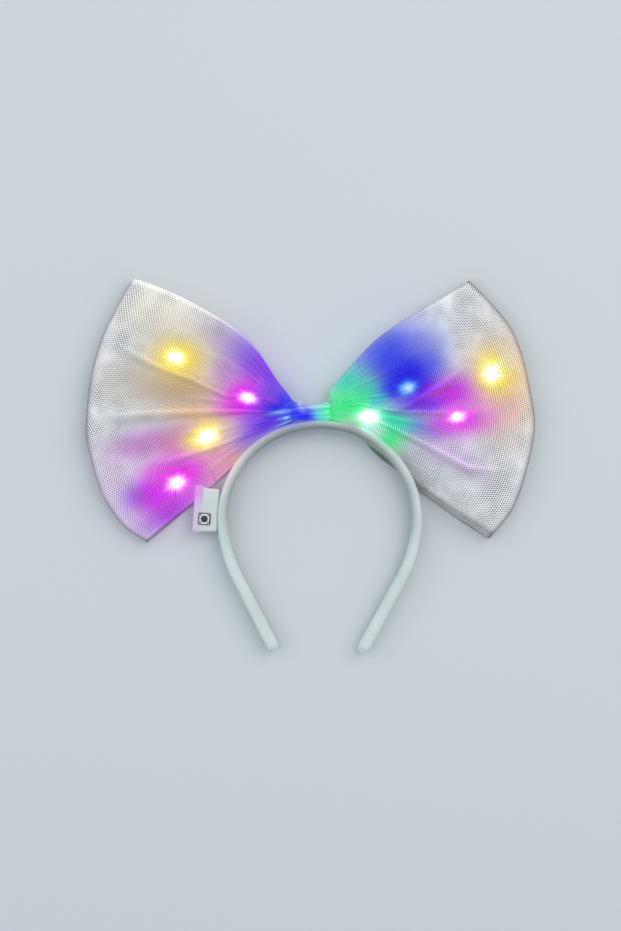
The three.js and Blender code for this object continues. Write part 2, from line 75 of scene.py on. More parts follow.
# Knot: the gathered middle of the bow, folds running along X, bound with thread at its left end
KNOT_Z = 9.5
KNOT = {"x": 1.05, "y": 31.6, "length": 18.9, "high": 9.5, "deep": 13.0, "square": 2.7, "rise": 0.5,
        "front": 0.6}
KNOT_WAIST = {"least": 0.93, "flare": 0.1, "power": 1.5}
KNOT_FOLDS = {"count": 11, "depth": 0.42, "twist": 0.5, "sunk": 0.06, "second": 0.5, "ratio": 1.7,
              "slant": 5.0, "rings": 48, "around": 132, "glow": 0.8, "shade": 0.16}
KNOT_LIP = {"steps": 5, "roll": 0.36, "out": 0.7}
LUMP = {"x": -5.8, "half": 1.1, "high": 1.3}
BINDING = {"x": -7.2, "turns": 4, "pitch": 0.36, "radius": 0.18, "proud": 0.2, "tight": 0.97,
           "wander": 0.12, "beat": 0.73, "per_turn": 48, "sides": 6}

# Cloth of the wings: a puffed front layer, a fold at the outer edge and a flat layer behind
CLOTH = {"rest": 0.5, "pressed": 2.1, "neck": 3.6, "length": 125.0, "fold": 19.0}
FOLD_AT = 0.952
NECK = {"end": 12.0, "lower": 15.0, "upper": 22.0, "back": 18.0, "share": 0.3}
SWELL = {"high": 2.0, "grow": (8.5, 3.0)}
PUFF = {"middle": 20.0, "fold": 9.0, "power": 0.8, "edge": 0.3}
PLEAT = {"count": 5, "depth": 2.4, "edge": 0.2, "grow": (12.0, 40.0), "fade": (70.0, 50.0), "faded": 0.5}
GATHER = {"count": 20, "depth": 2.2, "grow": (8.0, 12.0), "out": 85.0, "uneven": 0.35, "beat": 9.0}
BACK = {"ripple": 0.3, "grow": (30.0, 30.0), "count": 4, "slant": 0.8, "gather": 0.5}
BAND_PRESS = {"margin": 1.0, "run": 26.0}
POUCH_PRESS = (7.5, 9.0)
HEM = {"wide": 3.0, "under": 0.35}
EDGE_SAMPLES = 2001

# Hexagonal net: the pitch of its holes, and how wide the holes of each layer are as a share of it
NET_PITCH = 1.4
NET_HOLES = {"front": 0.68, "back": 0.52}

WINGS = {
    "left": {
        "lower": [(0.7, 29), (-7.5, 27.4), (-10.5, 25.4), (-14, 23.8), (-20, 21), (-33, 11.2),
                  (-44.5, -0.5), (-56.3, -11.6), (-76, -29), (-94.3, -44.4)],
        "upper": [(0.7, 35.5), (-8.4, 36.8), (-13.3, 42.3), (-19.7, 50.5), (-30.5, 66.7),
                  (-45.2, 80.6), (-73.4, 96.9), (-97.6, 107.2), (-103.8, 107)],
        "outer": [(-94.3, -44.4), (-108.8, -34.2), (-120.6, -16.2), (-128.8, 11),
                  (-129.6, 27), (-127.6, 47), (-120.6, 74.2), (-103.8, 107)],
    },
    "right": {
        "lower": [(1.4, 29), (10.2, 27), (13, 26.2), (16, 25.4), (22, 24), (28, 20.8), (34.6, 10.8),
                  (45.6, 0.8), (55.5, -6.6), (65, -15.1), (85.3, -30.2), (103.8, -42.3)],
        "upper": [(1.4, 35.5), (9.4, 36.6), (11, 40.5), (11.6, 44.6), (15.5, 48.6), (26.4, 60.9),
                  (43.5, 77.1), (75.7, 97.4), (92.2, 107.6)],
        "outer": [(103.8, -42.3), (117.7, -24.7), (125.6, -2.3), (130.2, 22.6),
                  (127, 47), (119.5, 74.2), (107.9, 91.1), (92.2, 107.6)],
    },
}

# Sharp creases of the front layers: height, half width, and places u (from the knot out) and v (going up)
CREASES = {
    "left": [
        (2.6, 1.5, [(0.12, 0.66), (0.38, 0.55), (0.56, 0.64), (0.73, 0.69), (0.93, 0.76)]),
        (2.8, 2.0, [(0.10, 0.40), (0.56, 0.46), (0.74, 0.48), (0.94, 0.49)]),
        (2.4, 1.5, [(0.12, 0.10), (0.35, 0.18), (0.52, 0.22), (0.73, 0.25)]),
        (1.6, 1.6, [(0.12, 0.24), (0.40, 0.30), (0.62, 0.36)]),
        (1.6, 1.5, [(0.10, 0.52), (0.36, 0.50), (0.60, 0.55)]),
        (1.4, 1.4, [(0.20, 0.05), (0.40, 0.10), (0.55, 0.11)]),
        (1.2, 1.8, [(0.12, 0.80), (0.40, 0.78), (0.60, 0.80)]),
    ],
    "right": [
        (2.8, 1.4, [(0.08, 0.49), (0.42, 0.43), (0.60, 0.45), (0.74, 0.46)]),
        (2.4, 2.2, [(0.36, 0.44), (0.44, 0.48), (0.57, 0.58), (0.74, 0.68)]),
        (2.8, 1.7, [(0.22, 0.34), (0.34, 0.30), (0.52, 0.25), (0.74, 0.22), (0.89, 0.25)]),
        (1.6, 1.5, [(0.08, 0.60), (0.30, 0.58), (0.46, 0.60)]),
        (1.6, 1.5, [(0.10, 0.36), (0.34, 0.38), (0.56, 0.36)]),
        (1.2, 1.8, [(0.10, 0.78), (0.36, 0.76), (0.56, 0.80)]),
    ],
}
CREASE = {"start": (-0.024, 0.08), "end": (-0.04, 0.2), "power": 1.7, "valley": 2.6, "valley_half": 1.6}

# Battery pouch in its own turned frame; near, grow, from, run and POUCH_TOP are shares of its half sizes
POUCH = {"x": -60.6, "y": -25.4, "turn": -4.5, "wide": 13.6, "tall": 25.2, "back": 3.2, "front": 11.7}
POUCH_CELLS = (44, 72, 14)
POUCH_SOFT = {"edge": 1.5, "crown": 0.35, "sunk": 0.4, "wave": 0.5, "wave_x": 2.0, "wave_y": 5.0}
POUCH_ENDS = {"near": (0.7, 0.3), "rise": 1.6, "rise_beside": (-1.6, 3.0), "drop": 0.5,
              "drop_beside": (-1.0, 2.0), "slant": 0.6}
POUCH_SEAM = {"out": 1.05, "near": (0.2, 0.8), "lean": 0.15}
POUCH_CREASE = {"x": -2.2, "lean": 0.4, "half": 0.45, "depth": 0.5, "grow": (-0.15, 0.5)}
# Places of a painted pink light on the facet left of the crease, and of a painted highlight along the top
# edge
POUCH_STRIP = {"beside": (-0.8, 1.6), "least": 0.3, "from": -0.5, "run": 1.25}
POUCH_TOP = (0.9, 0.1)
# Pouch cover colour, the painted pink light on the facet left of the crease, and the painted highlight along
# the top edge
POUCH_COLOUR_AND_LIGHT = {"cover": (0.57, 0.62, 0.61), "strip": (0.64, 0.29, 0.71), "edge": (0.74, 0.76, 0.76)}
SWITCH_POCKET = {"x": 0.1, "y": -5.1, "half": 3.1, "wall": 0.3, "depth": 1.7}
MERGE_DECIMALS = 5

# Light string: points from the pouch to its far end; the named ones carry a bead
STRING_Z = 3.0
STRING_SAMPLES = 40
LEAD = {"x": 3.6, "z": 4.6, "apart": 1.5, "straight": 4.0, "gap": 0.3}
ROUTE = [
    (-55.2, -2, 4.6, None), (-58, 5, 3.6, None), (-65.5, 5, STRING_Z, None), (-72, -2.5, STRING_Z, None),
    (-77.7, -9.3, STRING_Z, "led_1"), (-84, -15, STRING_Z, None), (-91.5, -10, STRING_Z, None),
    (-89, 0.5, STRING_Z, None), (-80, 9.5, STRING_Z, None), (-71, 14.4, STRING_Z, None),
    (-60.9, 18, STRING_Z, "led_2"), (-53.5, 22, STRING_Z, None), (-50.5, 30, STRING_Z, None),
    (-56, 40, STRING_Z, None), (-67, 51, STRING_Z, None), (-77.1, 63.2, STRING_Z, "led_3"),
    (-81.5, 72, STRING_Z, None), (-77.5, 79.5, STRING_Z, None), (-68, 77, STRING_Z, None),
    (-52, 59, STRING_Z, None), (-36, 40, STRING_Z, "led_4"), (-30, 35.6, 3.7, None), (-22.5, 33, 6.4, None),
    (-14.6, 32.2, KNOT_Z, "led_5"), (1, 32.1, KNOT_Z, None), (14, 32, KNOT_Z, None), (21.5, 30.8, 6.4, None),
    (27.8, 29.3, 3.8, None), (34.2, 29, STRING_Z + 0.15, "led_6"), (40.8, 31.4, STRING_Z, None),
    (48.5, 37.6, STRING_Z, None), (55.7, 45.2, STRING_Z, "led_7"), (69, 56, STRING_Z, None),
    (88, 58.6, STRING_Z, None), (105, 53.9, STRING_Z, "led_8"), (112.5, 44, STRING_Z, None),
    (104, 33.5, STRING_Z, None), (85.3, 29.6, STRING_Z, "led_9"), (78.5, 28.4, STRING_Z, None),
]
# Wire enamel colour, and the glow of painted bead light on it
WIRE_TONES = {"enamel": (0.55, 0.53, 0.50), "glow": 0.5}
STRAND = {"radius": 0.14, "apart": 0.15, "lay": 2.8, "step": 0.4, "sides": 6}
BEAD = {"radius": 1.7, "length": 4.2, "power": 2.6, "taper": 0.06, "least": 0.25, "around": 20, "rings": 14}

# Light colours, and one painted shadow colour, linear RGB
WHITE = (0.92, 0.93, 0.93)
BLUE = (0.006, 0.006, 0.80)
SKY = (0.06, 0.10, 0.84)
PERIWINKLE = (0.28, 0.34, 0.72)
AZURE = (0.12, 0.34, 0.72)
IRIS = (0.27, 0.12, 0.72)
INDIGO = (0.13, 0.02, 0.84)
VIOLET = (0.25, 0.055, 0.82)
PURPLE = (0.40, 0.06, 0.80)
MAGENTA = (0.82, 0.015, 0.84)
CERISE = (0.60, 0.02, 0.78)
PINK = (0.72, 0.26, 0.60)
ORCHID = (0.54, 0.17, 0.62)
MAUVE = (0.46, 0.39, 0.50)
LILAC = (0.70, 0.52, 0.82)
SLATE = (0.40, 0.41, 0.60)
GREEN = (0.05, 0.87, 0.29)
AQUA = (0.05, 0.84, 0.46)
TEAL = (0.05, 0.69, 0.55)
CYAN = (0.04, 0.58, 0.74)
LAGOON = (0.02, 0.85, 0.85)
POWDER = (0.20, 0.46, 0.74)
MINT = (0.65, 0.95, 0.92)
YELLOW = (0.98, 0.78, 0.05)
GOLD = (0.80, 0.58, 0.20)
PEACH = (0.84, 0.53, 0.28)
TAN = (0.54, 0.36, 0.22)
SALMON = (0.84, 0.43, 0.34)
DUSTY = (0.62, 0.24, 0.36)
ROSE = (0.78, 0.46, 0.54)
CREAM = (0.86, 0.80, 0.68)
ICE = (0.30, 0.56, 0.90)
STEEL = (0.30, 0.37, 0.50)
FROST = (0.66, 0.82, 0.86)
# Painted shadow colour: dark green-grey shade on the net just inside the band
PAINTED_SHADOW = (0.05, 0.10, 0.08)

# Beads: slot, and the hot middle seen through the cloth: half sizes, turn, brightness, place beside the bead
BEADS = {
    "led_1": ("led_magenta", (5.0, 3.8), 30, 2.0, (0.5, -0.5)),
    "led_2": ("led_yellow", (6.0, 4.0), 25, 2.0, (1.8, -1.3)),
    "led_3": ("led_yellow", (4.8, 3.8), -15, 2.0, (0.1, -1.0)),
    "led_4": ("led_magenta", (4.8, 2.9), -12, 2.0, (0.2, -0.8)),
    "led_5": ("led_blue", (1.6, 0.9), 20, 0.7, (1.0, -4.4)),
    "led_6": ("led_green", (6.2, 3.8), -5, 2.0, (0.0, -0.2)),
    "led_7": ("led_blue", (3.8, 2.8), 15, 1.5, (0.2, -0.5)),
    "led_8": ("led_yellow", (5.0, 5.4), 0, 2.0, (-0.5, -0.7)),
    "led_9": ("led_magenta", (4.4, 2.7), 8, 2.0, (-1.0, -1.7)),
}
BEAD_LIGHTS = {
    "led_magenta": {"colour": MAGENTA, "core": MAGENTA, "white": 0.9, "pale": 0.6, "strength": 12.0},
    "led_yellow": {"colour": YELLOW, "core": YELLOW, "white": 0.9, "pale": 0.6, "strength": 12.0},
    "led_blue": {"colour": BLUE, "core": LAGOON, "white": 0.45, "pale": 0.05, "strength": 0.5},
    "led_green": {"colour": GREEN, "core": GREEN, "white": 0.9, "pale": 0.6, "strength": 12.0},
}
LAMP = {"watts": 0.005, "above": 0.6}
BEAD_GLASS = {"roughness": 0.12, "hot": 0.2, "blend": 0.3, "span": (0.2, 0.9)}

# Painted light of the beads on the cloth, with painted shade, a painted shadow and painted highlights among
# it, laid on in this order: middle x and y, half sizes, turn, colour, strength
HALOS = [
    (-84, 88, 30, 17, -15, CREAM, 0.75),
    (-105, 47, 20, 14, -10, TAN, 0.35),
    (-113, -8, 15, 20, 0, LILAC, 0.50),
    (-99, -31, 27, 20, 40, LILAC, 0.75),
    (-71, 44, 27, 12, -12, TAN, 0.90),
    (-64, 30, 24, 6, 0, PEACH, 0.85),
    (-47, 30, 13, 5, 0, PINK, 0.75),
    (-94, 13, 24, 10, 12, ORCHID, 0.85),
    (-77, 12, 12, 8, 0, DUSTY, 0.80),
    (-52, 2, 21, 12, 32, SALMON, 0.95),
    (-50, 73, 16, 11, -35, MAUVE, 0.70),
    (-29, 55, 26, 16, -47, VIOLET, 0.98),
    (-80, -26, 20, 10, 35, PURPLE, 0.95),
    (-96, -16, 13, 9, 30, VIOLET, 0.85),
    (-75, -6, 26, 15, 30, MAGENTA, 1.00),
    (-89, -19, 10, 8, 30, CERISE, 0.70),
    (-37, 34, 17, 7, -8, MAGENTA, 0.90),
    (-38, 41, 13, 11, 0, MAGENTA, 1.00),
    (-32, 20, 16, 7, 35, VIOLET, 0.92),
    (-22, 56, 22, 8, -55, VIOLET, 0.70),
    (-14, 41, 10, 7, -50, INDIGO, 0.85),
    (-16, 32, 19, 14, -20, BLUE, 1.00),
    (-75, 61, 21, 15, -10, GOLD, 0.85),
    (-76, 62, 12, 10, -10, YELLOW, 0.95),
    (-61, 17, 13, 9, 25, YELLOW, 0.97),
    (-49, 53, 9, 8, -45, ORCHID, 0.55),
    (-88, -2, 10, 6, 25, MAGENTA, 0.55),
    (-55, 1, 9, 6, 30, ROSE, 0.60),
    (-86, 40, 12, 6, -10, TAN, 0.40),
    (-73, 22, 8, 4, 10, DUSTY, 0.50),
    (-44, 20.5, 8, 4, 20, PINK, 0.45),
    (-34, 26, 9, 4.5, 15, VIOLET, 0.75),
    (-24, 24.5, 8, 4, 30, INDIGO, 0.80),
    (-24, 39, 6, 2.4, -15, PURPLE, 0.60),
    (-21, 45.5, 6, 4.5, -50, VIOLET, 0.50),
    (-49, -10, 5, 7, 0, PINK, 0.60),
    (-15.5, 31.2, 8, 1.3, 8, ICE, 0.80),
    (-13.5, 28, 6, 0.9, 14, ICE, 0.60),
    (-14.7, 24.8, 6.5, 0.6, 20, ICE, 0.75),
    (111, 47, 22, 30, 0, PEACH, 0.85),
    (105, 31, 15, 11, 0, ROSE, 0.70),
    (67, 14, 25, 9, -25, SLATE, 0.65),
    (83, 4, 24, 7, -27, LILAC, 0.75),
    (69, 68, 13, 11, 0, PERIWINKLE, 0.60),
    (44.5, 65, 28, 20, 25, SKY, 1.00),
    (57, 49, 20, 15, 5, BLUE, 1.00),
    (21, 48, 13, 9, 35, TEAL, 0.95),
    (33, 43, 10, 7, 15, TEAL, 0.97),
    (22, 34.5, 21, 10, 0, GREEN, 1.00),
    (46, 17, 10, 13, -40, GREEN, 0.97),
    (59, 53, 14, 10, 10, BLUE, 0.85),
    (48, 44.5, 10, 7, 10, BLUE, 0.95),
    (63, 45, 9, 6, 10, BLUE, 0.85),
    (39, 37.6, 5.5, 3.8, 20, CYAN, 0.85),
    (72, 22, 13, 7, -8, IRIS, 0.85),
    (60, 24, 9, 6, -10, AZURE, 0.92),
    (52, 25.5, 7, 4.5, -8, TEAL, 0.85),
    (45, 28, 10, 6, -8, AQUA, 0.95),
    (36, 21, 7, 6, 0, MINT, 0.80),
    (87, 27, 17, 11, 0, MAGENTA, 0.95),
    (93, 40, 10, 8, 0, PINK, 0.80),
    (63, 36.3, 17, 6, 12, INDIGO, 0.98),
    (64, 45.5, 8, 4.5, 10, BLUE, 0.80),
    (81, 42, 17, 11, 28, CERISE, 0.98),
    (69, 34.5, 8, 4, 15, INDIGO, 0.75),
    (71, 58, 8, 9, 0, SKY, 0.50),
    (100, 9, 9, 5, -10, SLATE, 0.35),
    (106, 54, 12.5, 13, 0, YELLOW, 0.97),
    (114, 61, 7, 8, 0, CREAM, 0.50),
    (3.5, 31, 5, 7, 0, POWDER, 0.85),
    (5, 28, 4, 2, 0, CYAN, 0.60),
    (-5, 30, 7, 7, 0, BLUE, 0.95),
    (-2, 28.4, 6, 3, -8, BLUE, 0.90),
    (-4.4, 32.6, 2.6, 1.8, -20, PERIWINKLE, 0.55),
    (-5.8, 36.2, 1.3, 2.2, 0, LILAC, 0.75),
    (8, 31, 5, 8, 0, TEAL, 0.70),
    (14, 31, 6, 8, 0, GREEN, 0.95),
    (3, 36.2, 9, 1.8, 4, STEEL, 0.85),
    (3.5, 34.3, 8, 0.6, 5, FROST, 0.65),
    # Painted shadow on the net just inside the band, beside the right wing
    (40.5, 5.5, 13, 3.4, -40, PAINTED_SHADOW, 0.85),
]

# Light in the cloth: shares that reflect, glow, reach the layer behind and stray into white, and the fall-off
LIT = {"reflects": 0.26, "glows": 1.0, "behind": 0.36, "stray": 0.05, "fall": 2.6}
RAYS = {"coarse": 5, "fine": 11, "depth": 0.06}
# Painted shade of the wings: the dark outer fold, its turn, the least shade, painted highlight on crease
# ridges, painted shade in their valleys, and painted shade and highlight on the gathers
SHADE = {"fold": 0.2, "fold_turn": (0.44, 1.1), "least": 0.28, "ridge": 0.13, "valley": 0.10, "gather": 0.1}

# Painted shade along the edges of each wing, lighter where the tone is above 1: width as a share of the
# cloth, tone, and the u where they start
EDGE_SHADES = {
    "left": {"lower": (0.012, 0.45, 0.0), "upper": (0.016, 1.2, 0.3)},
    "right": {"lower": (0.03, 0.46, 0.0), "upper": (0.008, 0.6, 0.0)},
}
EDGE_SHADE_RUN = 0.1

# Finishes: a tone that wanders between a dark and a full shade, and a fine grain on some; the back tulle's
# dark is painted shade
TONE_SPAN = (0.3, 0.7)
TONE_DETAIL = 3.0
CLOTHS = {
    "band_ribbon": {"finish": {"roughness": 0.42, "sheen": 0.15}, "dark": (0.88, 0.88, 0.88), "scale": 0.06,
                    "grain": {"scale": 2.5, "detail": 3.0, "depth": 0.05, "strength": 0.5}},
    "tulle_front": {"finish": {"roughness": 0.6, "specular": 0.2, "sheen": 0.05},
                    "dark": (0.84, 0.84, 0.86), "scale": 0.12},
    # Back tulle: its dark patches are painted shade inside the loop of the bow
    "tulle_back": {"finish": {"roughness": 0.7, "specular": 0.2}, "dark": (0.09, 0.09, 0.095), "scale": 0.07,
                   "span": (0.40, 0.76)},
    "knot_tulle": {"finish": {"roughness": 0.5, "sheen": 0.15}, "dark": (0.8, 0.85, 0.9), "scale": 0.3},
    "pouch_sleeve": {"finish": {"roughness": 0.38, "sheen": 0.15}, "dark": (0.93, 0.93, 0.93), "scale": 0.12,
                     "grain": {"scale": 0.8, "detail": 5.0, "depth": 0.05, "strength": 0.35}},
    "wire_enamel": {"finish": {"roughness": 0.4}, "dark": (0.72, 0.72, 0.72), "scale": 0.4},
}
SWITCH_GRAIN = {"detail": 3.0, "depth": 0.02, "strength": 0.3}
SWITCH = {
    "switch_plate": {"name": "switch_tin", "finish": {"roughness": 0.45, "metallic": 0.55}, "scale": 0.5,
                     "dark": (0.62, 0.63, 0.64), "pale": (0.86, 0.87, 0.88), "grain": 3.0},
    "switch_base": {"name": "switch_plastic", "finish": {"roughness": 0.45}, "scale": 0.8,
                    "dark": (0.012, 0.012, 0.014), "pale": (0.03, 0.03, 0.034), "grain": 4.0},
    "switch_button": {"name": "button_plastic", "finish": {"roughness": 0.38}, "scale": 0.8,
                      "dark": (0.015, 0.015, 0.018), "pale": (0.045, 0.045, 0.05), "grain": 4.0},
}

# Studio, in metres and watts; the floor pales from near to radius, until it is as light as the air behind it
FLOOR = {"half": 20.0, "colour": (0.56, 0.59, 0.61), "roughness": 0.8, "near": 0.45, "radius": 2.2,
         "far": (0.98, 0.98, 0.98)}
AIR = {"colour": (0.86, 0.93, 1.0), "strength": 0.72}
STUDIO_LIGHTS = {
    "key_light": {"place": (0.75, 0.55, 1.25), "size": 1.2, "energy": 10, "color": (1, 0.97, 0.92)},
    "fill_light": {"place": (-0.9, 0.2, 1.1), "size": 1.2, "energy": 5, "color": (0.92, 0.96, 1)},
}


# Small helpers

def mix(a, b, t):
    return a + (b - a) * t


def smooth(t):
    t = np.clip(t, 0, 1)
    return t * t * (3 - 2 * t)


def rise(value, start, run):
    """0 up to start, 1 from a run later, and smooth between them."""
    return smooth((value - start) / run)


def bell(value, half):
    """1 where value is 0, falling away to both sides."""
    return np.exp(-((value / half) ** 2))


def unit(vectors):
    return vectors / np.linalg.norm(vectors, axis=-1, keepdims=True)


def rotate(x, y, degrees):
    c, s = math.cos(math.radians(degrees)), math.sin(math.radians(degrees))
    return x * c - y * s, x * s + y * c


def walk(line):
    """The distance walked along a line at each of its points."""
    return np.concatenate([[0], np.cumsum(np.linalg.norm(np.diff(line, axis=0), axis=1))])


def places(line, walked, at):
    """Points of a line at given distances along it."""
    return np.stack([np.interp(at, walked, part) for part in line.T], -1)


def hermite(p1, p2, m1, m2, w):
    return ((2 * w**3 - 3 * w**2 + 1) * p1 + (w**3 - 2 * w**2 + w) * m1
            + (3 * w**2 - 2 * w**3) * p2 + (w**3 - w**2) * m2)


def superellipse(wide, tall, square, angle):
    c, s = np.cos(angle), np.sin(angle)
    return (wide / 2 * np.sign(c) * np.abs(c) ** (2 / square),
            tall / 2 * np.sign(s) * np.abs(s) ** (2 / square))


def frames(line, about=UP):
    """Directions along a line, to its side and square to both; the side is square to about."""
    ahead = unit(np.gradient(line, axis=0))
    side = unit(np.cross(ahead, about))
    return ahead, side, np.cross(side, ahead)


def ring_faces(rings, around):
    """Faces of a tube of rings with equal counts of points, and the two that close its ends."""
    i, j = np.meshgrid(np.arange(rings - 1), np.arange(around), indexing="ij")
    here, across = i * around + j, i * around + (j + 1) % around
    faces = np.stack([here, across, across + around, here + around], -1).reshape(-1, 4).tolist()
    faces.append(list(range(around))[::-1])
    faces.append(list(range((rings - 1) * around, rings * around)))
    return faces


def tube(line, radius, count, about=UP):
    """Points and faces of a round tube along a line, with one radius or one for each point."""
    _, side, up = frames(line, about)
    angle = np.arange(count)[:, None] * math.tau / count
    around = side[:, None] * np.cos(angle) + up[:, None] * np.sin(angle)
    points = line[:, None] + np.reshape(radius, (-1, 1, 1)) * around
    return points.reshape(-1, 3), ring_faces(len(line), count)


def add_piece(name, points, faces, material, replaces=()):
    """A piece of the object from points in millimetres, riding on the headpiece."""
    mesh = bpy.data.meshes.new(name)
    mesh.from_pydata(np.asarray(points) * MM, [], faces)
    mesh.polygons.foreach_set("use_smooth", np.ones(len(mesh.polygons), bool))
    mesh.materials.append(material)
    mesh.update()
    piece = bpy.data.objects.new(name, mesh)
    bpy.context.scene.collection.objects.link(piece)
    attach(piece, BODY)
    if replaces:
        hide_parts(*replaces)
    return piece


# Materials

def new_material(name, colour, roughness, metallic=0.0, sheen=0.0, specular=0.5):
    material = bpy.data.materials.new(name)
    material.use_nodes = True
    shader = material.node_tree.nodes["Principled BSDF"]
    shader.inputs["Base Color"].default_value = (*colour, 1)
    shader.inputs["Roughness"].default_value = roughness
    shader.inputs["Metallic"].default_value = metallic
    shader.inputs["Sheen Weight"].default_value = sheen
    shader.inputs["Specular IOR Level"].default_value = specular
    return material, material.node_tree, shader


def noise(tree, scale, detail):
    """A noise in the object's own millimetres."""
    place = tree.nodes.new("ShaderNodeTexCoord")
    texture = tree.nodes.new("ShaderNodeTexNoise")
    texture.inputs["Scale"].default_value = scale / MM
    texture.inputs["Detail"].default_value = detail
    tree.links.new(place.outputs["Object"], texture.inputs["Vector"])
    return texture.outputs["Fac"]


def ramp(tree, source, low, high, start, end):
    """Colours from low to high as source goes from start to end."""
    node = tree.nodes.new("ShaderNodeValToRGB")
    node.color_ramp.elements[0].position = start
    node.color_ramp.elements[0].color = (*low, 1)
    node.color_ramp.elements[1].position = end
    node.color_ramp.elements[1].color = (*high, 1)
    tree.links.new(source, node.inputs["Fac"])
    return node.outputs["Color"]


def wandering(tree, scale, low, high, span=TONE_SPAN):
    """A colour that wanders between two shades."""
    return ramp(tree, noise(tree, scale, TONE_DETAIL), low, high, *span)


def add_grain(tree, shader, scale, detail, depth, strength):
    """Fine unevenness of a surface."""
    node = tree.nodes.new("ShaderNodeBump")
    node.inputs["Strength"].default_value = strength
    node.inputs["Distance"].default_value = depth * MM
    tree.links.new(noise(tree, scale, detail), node.inputs["Height"])
    tree.links.new(node.outputs["Normal"], shader.inputs["Normal"])


def point_colour(tree, name):
    """The colour that the points of the mesh hold under a name."""
    node = tree.nodes.new("ShaderNodeAttribute")
    node.attribute_name = name
    return node.outputs["Color"]


def lit_cloth(name):
    """Cloth with the lights' colours, held by the points of its mesh, painted into its own colour and given
    as a glow.
    """
    look = CLOTHS[name]
    material, tree, shader = new_material(name, WHITE, **look["finish"])
    shade = tree.nodes.new("ShaderNodeMix")
    shade.data_type = "RGBA"
    shade.blend_type = "MULTIPLY"
    shade.inputs["Factor"].default_value = 1
    tone = wandering(tree, look["scale"], look["dark"], (1, 1, 1), look.get("span", TONE_SPAN))
    tree.links.new(point_colour(tree, "tint"), shade.inputs["A"])
    tree.links.new(tone, shade.inputs["B"])
    tree.links.new(shade.outputs["Result"], shader.inputs["Base Color"])
    tree.links.new(point_colour(tree, "glow"), shader.inputs["Emission Color"])
    shader.inputs["Emission Strength"].default_value = 1
    if "grain" in look:
        add_grain(tree, shader, **look["grain"])
    return material


def bead_material(name, light):
    """Clear resin that glows, whitest where it faces the eye."""
    colour = np.array(light["colour"])
    pale = mix(colour, 1.0, light["pale"])
    hot = mix(colour, 1.0, light["pale"] * BEAD_GLASS["hot"])
    material, tree, shader = new_material(name, pale, BEAD_GLASS["roughness"])
    facing = tree.nodes.new("ShaderNodeLayerWeight")
    facing.inputs["Blend"].default_value = BEAD_GLASS["blend"]
    glow = ramp(tree, facing.outputs["Facing"], hot, colour, *BEAD_GLASS["span"])
    tree.links.new(glow, shader.inputs["Emission Color"])
    shader.inputs["Emission Strength"].default_value = light["strength"]
    return material


# Coloured light on the cloth

def from_ellipse(points, middle, half, degrees):
    """How far points lie from the middle of a turned ellipse: 1 on its rim."""
    x, y = rotate(points[:, 0] - middle[0], points[:, 1] - middle[1], -degrees)
    return np.hypot(x / half[0], y / half[1])


def paint_light(points):
    """Painted colour of the bead light on the cloth at points in millimetres, and how much of it is coloured
    light.
    """
    colour = np.tile(np.array(WHITE), (len(points), 1))
    amount = np.zeros(len(points))
    for x, y, half_x, half_y, turn, tint, strength in HALOS:
        off = from_ellipse(points, (x, y), (half_x, half_y), turn)
        weight = strength * np.exp(-off ** LIT["fall"])
        colour += weight[:, None] * (np.array(tint) - colour)
        amount += weight * (1 - amount)
    return colour, amount


def bead_glow(points, place, slot, half, turn, bright, beside):
    """Light of a bead seen through the cloth: a white-hot middle with faint rays."""
    light = BEAD_LIGHTS[slot]
    middle = np.add(place, beside)
    angle = np.arctan2(points[:, 1] - middle[1], points[:, 0] - middle[0])
    ray = np.sin(RAYS["coarse"] * angle + turn) + np.sin(RAYS["fine"] * angle - turn)
    off = from_ellipse(points, middle, half, turn) * (1 + RAYS["depth"] * ray)
    near = bright * np.exp(-(off ** 2))[:, None]
    return near * mix(np.array(light["core"]), 1.0, light["white"] * np.minimum(near, 1))


def add_light_colours(piece, points, shade=1.0, glow_share=1.0):
    """Stores at each point the cloth's colour, tinted by painted light of the beads, and its glow; shade is
    painted shade that lightens or darkens both.
    """
    colour, amount = paint_light(points)
    shade = np.broadcast_to(shade, amount.shape)
    glow = colour * (shade * mix(LIT["stray"], LIT["glows"], amount))[:, None]
    for x, y, _, name in ROUTE:
        if name:
            glow += bead_glow(points, (x, y), *BEADS[name])
    # Painted shade, and how much of the painted light the cloth takes into its colour
    own = shade * mix(1.0, LIT["reflects"], amount)
    store_colours(piece, colour * own[:, None], glow_share * glow)


def store_colours(piece, tint, glow):
    for name, values in (("tint", tint), ("glow", glow)):
        layer = piece.data.color_attributes.new(name, "FLOAT_COLOR", "POINT")
        layer.data.foreach_set("color", np.column_stack([values, np.ones(len(values))]).ravel())


# Headband

def strap_line(stations):
    """Middle line of the strap from the left tip to the right one, walked evenly, and the distance walked."""
    drop = math.radians(CROWN["drop"])
    bend_x = (CROWN["rx"] - BEND_RADIUS) * math.cos(drop)
    bend_y = CROWN["y"] + (BEND_RADIUS - CROWN["ry"]) * math.sin(drop)

    def leg(side, degrees):
        angle = np.linspace(math.radians(degrees), drop, STRAP_SAMPLES["leg"])
        arc = np.stack([CROWN["x"] + side * (bend_x + BEND_RADIUS * np.cos(angle)),
                        bend_y - BEND_RADIUS * np.sin(angle)], -1)
        inward = np.array([-side * math.sin(angle[0]), -math.cos(angle[0])])
        return np.vstack([arc[:1] + LEG["length"] * inward, arc])

    angle = np.linspace(math.pi + drop, -drop, STRAP_SAMPLES["crown"])
    crown = np.stack([CROWN["x"] + CROWN["rx"] * np.cos(angle), CROWN["y"] + CROWN["ry"] * np.sin(angle)], -1)
    line = np.vstack([leg(-1, LEG["left"])[:-1], crown, leg(1, LEG["right"])[:-1][::-1]])
    walked = walk(line)
    at = np.linspace(0, walked[-1], stations)
    return places(line, walked, at), at


